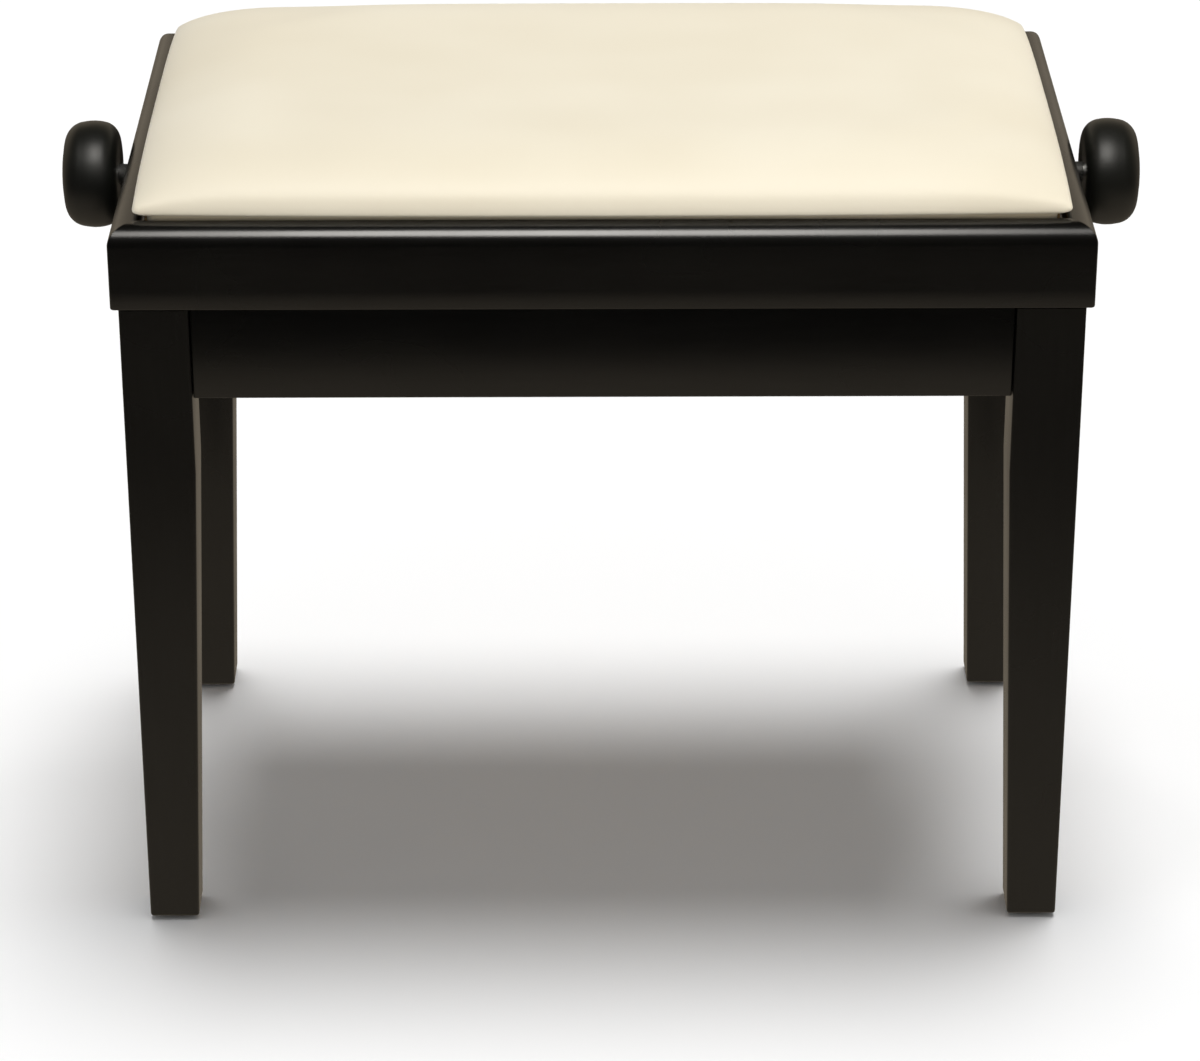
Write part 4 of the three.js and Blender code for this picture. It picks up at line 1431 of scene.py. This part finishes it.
@dataclass
class Spindle:
    """The threaded rod, its two knobs, its set collars and the bushes that it turns in."""

    knob_round: float = 12.5 * MM
    back_round: float = 10.5 * MM
    crown: float = 0.55 * MM
    dome: float = 1.8 * MM
    socket: float = 25.3 * MM
    bore: float = 6.3 * MM
    bore_ease: float = 0.6 * MM
    back_arc: tuple[int, int, int] = (-90, -10, 10)  # degrees from and to, and steps
    rim_arc: tuple[int, int, int] = (6, 84, 14)
    barrel_half: int = 4  # steps in half the barrel
    face_rings: tuple[float, ...] = (0.75, 0.5, 0.25)
    rod_chamfer: float = 0.8 * MM
    pitch: float = 2.275 * MM
    thread_depth: float = 1.1 * MM
    thread_from: float = 130.0 * MM
    thread_to: float = 226.0 * MM
    collar_chamfer: float = 0.7 * MM
    grub_mm: tuple[Flat, ...] = ((0.0, -2.0), (1.0, -1.6), (1.2, -0.2), (2.4, 0.0), (2.4, -3.0), (0.0, -3.0))
    grub_proud: float = 0.15 * MM
    sleeve: float = 8.0 * MM
    flange: float = 2.5 * MM
    bush_chamfer: float = 0.5 * MM
    bush_lead: float = 0.4 * MM  # the smaller chamfers at its outer end
    knob_segments: int = 96
    sleeve_segments: int = 64

    def on_spindle(self, profile: Sequence[Flat], side: int, segments: int) -> Mesh:
        """Turn a profile about the spindle's axis.

        Args:
            profile: Points of (radius, distance from the middle of the bench).
            side: The side on which it stands, -1 or 1.
            segments: Segments round the axis.

        Returns:
            The turned mesh.
        """
        return turned(to_side(profile, side), Along.X, (0.0, 0.0, SPINDLE_HEIGHT), segments)

    def knob(self, side: int, inner: float, outer: float, radius: float) -> Mesh:
        """Turn a barrel-shaped knob with rounded rims, a slightly domed face and a blind socket.

        Args:
            side: The side on which it stands, -1 or 1.
            inner: How far from the middle its back is.
            outer: How far from the middle its face is.
            radius: Its greatest radius.

        Returns:
            The knob's mesh.
        """
        end = radius - self.crown
        back = arc((end - self.back_round, inner + self.back_round), self.back_round, *self.back_arc)
        rim_level = outer - self.dome - self.knob_round
        rim = arc((end - self.knob_round, rim_level), self.knob_round, *self.rim_arc)
        middle = (back[-1][1] + rim[0][1]) / 2
        half = (rim[0][1] - back[-1][1]) / 2
        barrel = []
        for step in range(1, 2 * self.barrel_half):
            share = step / self.barrel_half - 1
            level = middle + half * share
            edge = back[-1][0] + (rim[0][0] - back[-1][0]) * (share + 1) / 2
            barrel.append((edge + (radius - edge) * (1 - share * share), level))
        face = []
        for share in self.face_rings:
            reach = rim[-1][0] * share
            face.append((reach, outer - self.dome * (reach / rim[-1][0]) ** 2))
        floor = inner + self.socket
        socket = [(0.0, floor), (self.bore, floor), (self.bore, inner + self.bore_ease)]
        mouth = (self.bore + self.bore_ease, inner)
        profile = [*socket, mouth, *back, *barrel, *rim, *face, (0.0, outer)]
        return self.on_spindle(profile, side, self.knob_segments)

    def rod(self, reach: float, radius: float) -> Mesh:
        """Build the rod with a real thread where the nut bar runs.

        Args:
            reach: How far from the middle its ends are.
            radius: Its radius over the thread.

        Returns:
            The rod's mesh.
        """
        around, per_turn = 24, 8
        count = round((self.thread_to - self.thread_from) / self.pitch) * per_turn
        step = self.pitch / per_turn
        bm = bmesh.new()
        tip = self.rod_chamfer
        rings = []
        plain = [(radius - tip, -reach), (radius, tip - reach)]
        plain += [(radius, 0.0), (radius, self.thread_from - step)]
        thread = [(None, self.thread_from + step * i) for i in range(count + 1)]
        end = [(radius, self.thread_to + 3 * step), (radius, reach - tip), (radius - tip, reach)]
        for ring_radius, x in [*plain, *thread, *end]:
            ring = []
            for i in range(around):
                turn = i / around
                size = ring_radius
                if size is None:
                    phase = ((x - self.thread_from) / self.pitch - turn) % 1.0
                    size = radius - self.thread_depth * (1 - abs(2 * phase - 1))
                angle = 2 * math.pi * turn
                ring.append(Vector((x, size * math.cos(angle), SPINDLE_HEIGHT + size * math.sin(angle))))
            rings.append(ring)
        close_rings(bm, rings)
        return bm

    def build(self) -> None:
        """Build the rod, knobs, collars and bushes."""
        low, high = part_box("spindle_rod")
        place_piece(
            self.rod(high[0], (high[1] - low[1]) / 2),
            "threaded_rod",
            Body.SPINDLE,
            BRIGHT[Along.X],
            ["spindle_rod"],
            crease=50,
        )
        for end, side in (("left", -1), ("right", 1)):
            node = f"knob_{end}"
            bm = self.knob(side, *turned_size(node, Along.X))
            place_piece(bm, f"hand_knob_{end}", Body.SPINDLE, KNOB_BLACK, [node], crease=60)
            self.collar(end, side)
            self.bush(end, side)

    def collar(self, end: str, side: int) -> None:
        """Build a set collar with its socket screw.

        Args:
            end: The end at which it sits, left or right.
            side: The same as -1 or 1.
        """
        node = f"spindle_collar_{end}"
        inner, outer, radius = turned_size(node, Along.X)
        sleeve = ring_profile(self.bore, radius, inner, outer, self.collar_chamfer)
        bm = self.on_spindle(sleeve, side, self.sleeve_segments)
        profile = [(reach * MM, level * MM) for reach, level in self.grub_mm]
        grub = turned(profile, Along.Z, (0.0, 0.0, 0.0), 6)
        middle = side * (inner + outer) / 2
        out = Matrix.Translation((middle, 0.0, SPINDLE_HEIGHT)) @ facing((0, -1, 0))
        absorb(bm, grub, out @ Matrix.Translation((0.0, 0.0, radius + self.grub_proud)))
        place_piece(bm, f"set_collar_{end}", Body.SPINDLE, ZINC[Along.X], [node])

    def bush(self, end: str, side: int) -> None:
        """Build a flanged bush.

        Args:
            end: The end at which it sits, left or right.
            side: The same as -1 or 1.
        """
        node = f"spindle_bush_{end}"
        inner, outer, flange = turned_size(node, Along.X)
        shoulder = inner + self.flange
        chamfer, lead = self.bush_chamfer, self.bush_lead
        profile = [
            (self.bore + chamfer, inner),
            (flange - chamfer, inner),
            (flange, inner + chamfer),
            (flange, shoulder),
            (self.sleeve, shoulder),
            (self.sleeve, outer - lead),
            (self.sleeve - lead, outer),
            (self.bore + lead, outer),
            (self.bore, outer - lead),
            (self.bore, inner + chamfer),
            (self.bore + chamfer, inner),
        ]
        bm = self.on_spindle(profile, side, self.sleeve_segments)
        place_piece(bm, f"flanged_bush_{end}", Body.SEAT, BRONZE, [node])


# ---------------------------------------------------------------- lift


@dataclass
class LiftMechanism:
    """The scissor lift: channels, arms, rods and the nut bar."""

    sheet_ease_mm: float = 0.5
    arm_half_height: float = 12.0 * MM
    arm_length: float = 400.0 * MM
    arm_ease: float = 0.5 * MM
    pin: float = 5.0 * MM
    pin_room: float = 0.3 * MM  # round a pin that turns in its hole
    centre_room: float = 1.0 * MM  # round the centre rod in the outer arms
    slot_room: float = 1.1 * MM  # round the nut bar's journals
    slot_in: float = 3.8 * MM  # how far their slots run in
    slot_out: float = 0.4 * MM  # and out
    pivot_x: float = 199.0955 * MM
    upper: float = SPINDLE_HEIGHT
    lower: float = 385.0 * MM
    rod_chamfer: float = 0.6 * MM
    roller_from: float = 114.3 * MM  # where the slide rod's rollers begin
    rivet: float = 8.0 * MM
    rivet_thick: float = 3.0 * MM
    rivet_slope: float = 1.6 * MM
    rivet_edge: float = 0.5 * MM

    def slot_outline(self, start: float, end: float, radius: float) -> list[Flat]:
        """Give the outline of a slot with round ends, counter-clockwise.

        Args:
            start: Where the first end's centre is.
            end: Where the last end's centre is.
            radius: The radius of both ends.

        Returns:
            The outline's points.
        """
        return [*arc((start, 0.0), radius, 90, 270, 20), *arc((end, 0.0), radius, -90, 90, 20)]

    def arm(self, holes: Sequence[tuple[float, float, float]], thick: float) -> Mesh:
        """Punch a flat arm along +X from its first pivot.

        Args:
            holes: The start, end and radius of each hole along the arm.
            thick: The arm's thickness.

        Returns:
            The arm, lying in the XY plane about z = 0.
        """
        curve = bpy.data.curves.new("arm", "CURVE")
        curve.dimensions = "2D"
        curve.fill_mode = "BOTH"
        curve.extrude = thick / 2 - self.arm_ease
        curve.bevel_depth = self.arm_ease
        curve.bevel_resolution = 1
        curve.offset = -self.arm_ease
        outlines = [self.slot_outline(0.0, self.arm_length, self.arm_half_height)]
        outlines += [self.slot_outline(*hole) for hole in holes]
        for outline in outlines:
            spline = curve.splines.new("POLY")
            spline.points.add(len(outline) - 1)
            for point, (x, y) in zip(spline.points, outline):
                point.co = (x, y, 0.0, 1.0)
            spline.use_cyclic_u = True
        holder = bpy.data.objects.new("arm", curve)
        bpy.context.scene.collection.objects.link(holder)
        bpy.context.view_layer.update()
        graph = bpy.context.evaluated_depsgraph_get()
        mesh = bpy.data.meshes.new_from_object(holder.evaluated_get(graph), depsgraph=graph)
        bm = bmesh.new()
        bm.from_mesh(mesh)
        bmesh.ops.remove_doubles(bm, verts=bm.verts, dist=0.001 * MM)
        bpy.data.objects.remove(holder)
        bpy.data.curves.remove(curve)
        bpy.data.meshes.remove(mesh)
        return bm

    def hole(self, place: float, radius: float) -> tuple[float, float, float]:
        """Give a round hole in an arm as a slot that is too short to see."""
        return place - 0.001 * MM, place + 0.001 * MM, radius

    def build_arms(self) -> None:
        """Build the two pairs of arms."""
        angle = math.asin((self.upper - self.lower) / self.arm_length)
        middle, end = self.arm_length / 2, self.arm_length
        snug, wide = self.pin + self.pin_room, self.pin + self.centre_room
        slot = (end - self.slot_in, end + self.slot_out, self.pin + self.slot_room)
        inner = [self.hole(0.0, snug), self.hole(middle, snug), slot]
        outer = [self.hole(0.0, snug), self.hole(middle, wide), self.hole(end, snug)]
        rows = (
            ("inner_arm", Body.INNER_ARMS, inner, self.lower, angle),
            ("outer_arm", Body.OUTER_ARMS, outer, self.upper, -angle),
        )
        for kind, body, holes, height, slope in rows:
            for side in ("front", "back"):
                name = f"{kind}_{side}"
                low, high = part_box(name)
                bm = self.arm(holes, high[1] - low[1])
                place = (
                    Matrix.Translation((-self.pivot_x, (low[1] + high[1]) / 2, height))
                    @ Matrix.Rotation(-slope, 4, "Y")
                    @ Matrix.Rotation(math.radians(90), 4, "X")
                )
                bmesh.ops.transform(bm, matrix=place, verts=bm.verts)
                place_piece(bm, f"{name}_plate", body, ZINC[Along.X], [name])

    def build_rods(self) -> None:
        """Turn the rods and pins."""
        chamfer = self.rod_chamfer
        for name, body, x, z in (
            ("base_pivot_rod", Body.BASE, -self.pivot_x, self.lower),
            ("centre_rod", Body.INNER_ARMS, 0.0, (self.upper + self.lower) / 2),
        ):
            low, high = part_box(name)
            profile = bar_profile(self.pin, low[1], high[1], chamfer)
            bm = turned(profile, Along.Y, (x, 0.0, z), ROUND)
            place_piece(bm, f"{name}_bar", body, BRIGHT[Along.Y], [name], crease=40)
        low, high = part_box("slide_rod")
        roller, inner, reach = (high[2] - low[2]) / 2, self.roller_from, high[1]
        profile = [
            (0.0, -reach),
            (roller - chamfer, -reach),
            (roller, chamfer - reach),
            (roller, -inner - chamfer),
            (roller - chamfer, -inner),
            (self.pin, -inner),
            (self.pin, inner),
            (roller - chamfer, inner),
            (roller, inner + chamfer),
            (roller, reach - chamfer),
            (roller - chamfer, reach),
            (0.0, reach),
        ]
        bm = turned(profile, Along.Y, (self.pivot_x, 0.0, self.lower), ROUND)
        finish = BRIGHT[Along.Y]
        place_piece(bm, "slide_rod_bar", Body.OUTER_ARMS, finish, ["slide_rod"], crease=40)
        for side, sign in (("front", -1), ("back", 1)):
            name = f"seat_pivot_pin_{side}"
            inner, reach, _ = turned_size(name, Along.Y)
            head = inner + self.rivet_thick
            profile = [
                (0.0, inner),
                (self.rivet - self.rivet_slope, inner),
                (self.rivet - self.rivet_edge, inner + self.rivet_edge),
                (self.rivet, inner + self.rivet_slope),
                (self.rivet, head),
                (self.pin, head),
                (self.pin, reach - chamfer),
                (self.pin - chamfer, reach),
                (0.0, reach),
            ]
            bm = turned(to_side(profile, sign), Along.Y, (-self.pivot_x, 0.0, self.upper), ROUND)
            place_piece(bm, f"{name}_rivet", Body.SEAT, BRIGHT[Along.Y], [name], crease=40)

    def build(self) -> None:
        """Dress the sheet metal and build the rest."""
        for side in ("front", "back"):
            dress_node(f"base_channel_{side}", ZINC[Along.X], self.sheet_ease_mm)
            dress_node(f"seat_channel_{side}", ZINC[Along.X], self.sheet_ease_mm)
        dress_node("drive_crosshead", ZINC[Along.Y], self.sheet_ease_mm)
        self.build_arms()
        self.build_rods()


# ---------------------------------------------------------------- hardware


@dataclass
class Hardware:
    """Screws, bolts, corner plates, blocks, deck and glides."""

    head: float = 4.2 * MM
    head_rise: float = 2.2 * MM
    recess: float = 0.55 * MM  # half the width of its cross
    recess_reach: float = 0.62  # of the head's radius
    recess_depth: float = 1.1 * MM
    head_edge: float = 0.35  # the edge's share of the head's rise
    first_turn: float = 11.0  # degrees that the first screw's cross is turned
    next_turn: float = 37.0  # and each later one's from the one before it
    channel_screw_mm: tuple[int, ...] = (-205, -105, 0, 105, 205)
    channel_screw_y: float = 136.0 * MM
    channel_sheet: float = 2.4 * MM
    batten_screw_mm: tuple[int, ...] = (-150, 0, 150)
    batten_screw_y: float = 146.7 * MM
    batten_screw_height: float = 427.7 * MM
    bolt_place: Point = (236.0 * MM, 125.0 * MM, 361.0 * MM)
    bolt_head: float = 7.5 * MM
    bolt_rise: float = 6.0 * MM
    bolt_seat: float = -8.7 * MM  # from its place, out towards the leg's corner
    bolt_reach: float = 24.0 * MM
    bolt_radius: float = 4.0 * MM
    bolt_ease: float = 0.5 * MM
    washer: float = 1.5 * MM
    washer_chamfer: float = 0.3 * MM
    dish_mm: tuple[Flat, ...] = ((0.0, 0.9), (2.8, 0.9), (3.4, 0.2), (4.4, 0.0))
    glide_edge: float = 1.0 * MM  # the size of its rounded edge
    glide_turn: float = 0.3 * MM  # how far in the middle of that edge is cut
    block_ease_mm: float = 0.8
    plate_ease_mm: float = 0.4
    deck_inset: float = 2.5 * MM  # room for the cover that wraps the deck's edge
    deck_corner: float = 14.0 * MM
    deck_ease: float = 0.7 * MM

    def screw(self) -> Mesh:
        """Build a pan head with a cross recess, its underside at z = 0 and its head up +Z.

        Returns:
            The head's mesh.
        """
        bm = bmesh.new()
        around, across, rim = 40, 9, 0.9
        shares = [1.0, 0.97, rim] + [rim - rim * i / across for i in range(1, across)]
        reach = self.recess_reach * self.head
        foot = [(self.head * math.cos(a), self.head * math.sin(a)) for a in self.angles(around)]
        rings = [lift(foot, Along.Z, 0.0)]
        for share in shares:
            ring = []
            for a in self.angles(around):
                x, y = self.head * share * math.cos(a), self.head * share * math.sin(a)
                rise = self.head_rise * (self.head_edge + (1 - self.head_edge) * (1 - share**4) ** 0.5)
                sunk = min(abs(x), abs(y)) < self.recess and max(abs(x), abs(y)) < reach
                ring.append(Vector((x, y, rise - (self.recess_depth if sunk else 0.0))))
            rings.append(ring)
        close_rings(bm, rings)
        return bm

    def angles(self, count: int) -> list[float]:
        """Give evenly spaced angles round a full turn."""
        return [2 * math.pi * i / count for i in range(count)]

    def screws(self, name: str, body: Body, spots: Sequence[tuple[Point, Point]]) -> None:
        """Drive a set of screws, each turned as it happened to stop.

        Args:
            name: The name of the piece that they make up.
            body: The body that they ride on.
            spots: Each screw's place and the direction that it faces.
        """
        bm = bmesh.new()
        for n, (point, direction) in enumerate(spots):
            turn = Matrix.Rotation(math.radians(self.first_turn + self.next_turn * n), 4, "Z")
            absorb(bm, self.screw(), Matrix.Translation(point) @ facing(direction) @ turn)
        place_piece(bm, name, body, ZINC[Along.X], crease=30)

    def bolt(self, name: str, sx: int, sy: int) -> None:
        """Build a leg bolt with a hexagon head and a washer.

        Args:
            name: The CAD bolt.
            sx: The side along X on which it sits, -1 or 1.
            sy: The side along Y.
        """
        x, y, height = self.bolt_place
        seat, radius = self.bolt_seat, self.bolt_head
        hexagon = [(radius * math.cos(a), radius * math.sin(a)) for a in self.angles(6)]
        bm = bmesh.new()
        close_rings(bm, [lift(hexagon, Along.Z, z) for z in (seat - self.bolt_rise, seat - self.washer)])
        eased(bm, self.bolt_ease, 2)
        washer = bar_profile(radius, seat - self.washer, seat, self.washer_chamfer)
        absorb(bm, turned(washer, Along.Z, (0, 0, 0), ROUND))
        shank = bar_profile(self.bolt_radius, seat, self.bolt_reach, self.bolt_ease)
        absorb(bm, turned(shank, Along.Z, (0, 0, 0), 32))
        place = Matrix.Translation((sx * x, sy * y, height)) @ facing((sx, sy, 0))
        bmesh.ops.transform(bm, matrix=place, verts=bm.verts)
        place_piece(bm, f"{name}_hex", Body.BASE, ZINC[Along.Z], [name])

    def glide(self, name: str) -> None:
        """Build a nylon glide with a dished middle.

        Args:
            name: The CAD glide.
        """
        low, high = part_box(name)
        radius = (high[0] - low[0]) / 2
        thick = high[2] - low[2]
        dish = [(reach * MM, level * MM) for reach, level in self.dish_mm]
        far, near = self.glide_edge, self.glide_turn
        edge = [(radius - far, 0.0), (radius - near, near), (radius, far)]
        centre = ((low[0] + high[0]) / 2, (low[1] + high[1]) / 2, 0.0)
        bm = turned([*dish, *edge, (radius, thick), (0.0, thick)], Along.Z, centre, ROUND)
        place_piece(bm, f"{name}_pad", Body.BASE, GLIDE_NYLON, [name])

    def deck(self) -> Mesh:
        """Saw the seat's deck, its corners cut round so that they don't wear through the cover.

        Returns:
            The deck's mesh.
        """
        low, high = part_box("seat_deck")
        reach_x, reach_y = high[0] - self.deck_inset, high[1] - self.deck_inset
        outline = rounded_outline((-reach_x, -reach_y), (reach_x, reach_y), [self.deck_corner] * 4, 8)
        bm = bmesh.new()
        close_rings(bm, [lift(outline, Along.Z, low[2]), lift(outline, Along.Z, high[2])])

        def is_flat(edge: bmesh.types.BMEdge) -> bool:
            """Say whether an edge lies in one of the two faces."""
            return abs(edge.verts[0].co.z - edge.verts[1].co.z) < MM

        return eased(bm, self.deck_ease, 2, is_flat)

    def build(self) -> None:
        """Build every fixing and the plain wooden parts that they hold."""
        place_piece(self.deck(), "seat_deck_board", Body.SEAT, PLYWOOD, ["seat_deck"])
        channel_screws, batten_screws = [], []
        for side, sy in (("front", -1), ("back", 1)):
            name = f"seat_batten_{side}"
            batten = board(*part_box(name), self.block_ease_mm * MM)
            place_piece(batten, f"{name}_board", Body.SEAT, BEECH[Along.X], [name])
            for end, sx in (("left", -1), ("right", 1)):
                dress_node(f"corner_plate_{side}_{end}", ZINC[Along.Z], self.plate_ease_mm)
                dress_node(f"corner_block_{side}_{end}", BEECH[Along.Z], self.block_ease_mm)
                self.bolt(f"leg_bolt_{side}_{end}", sx, sy)
                self.glide(f"foot_glide_{side}_{end}")
            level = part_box(f"seat_channel_{side}")[1][2] - self.channel_sheet
            for x in self.channel_screw_mm:
                channel_screws.append(((x * MM, sy * self.channel_screw_y, level), (0.0, 0.0, -1.0)))
            for x in self.batten_screw_mm:
                place = (x * MM, sy * self.batten_screw_y, self.batten_screw_height)
                batten_screws.append((place, (0.0, -sy, 0.0)))
        self.screws("channel_screws", Body.SEAT, channel_screws)
        self.screws("batten_screws", Body.SEAT, batten_screws)


def main() -> None:
    """Build the bench, piece by piece."""
    logging.basicConfig(level=logging.INFO, format="%(message)s")
    Studio().build()
    BaseFrame().build()
    SeatFrame().build()
    Cushion().build()
    Spindle().build()
    LiftMechanism().build()
    Hardware().build()


if __name__ == "__main__":
    main()
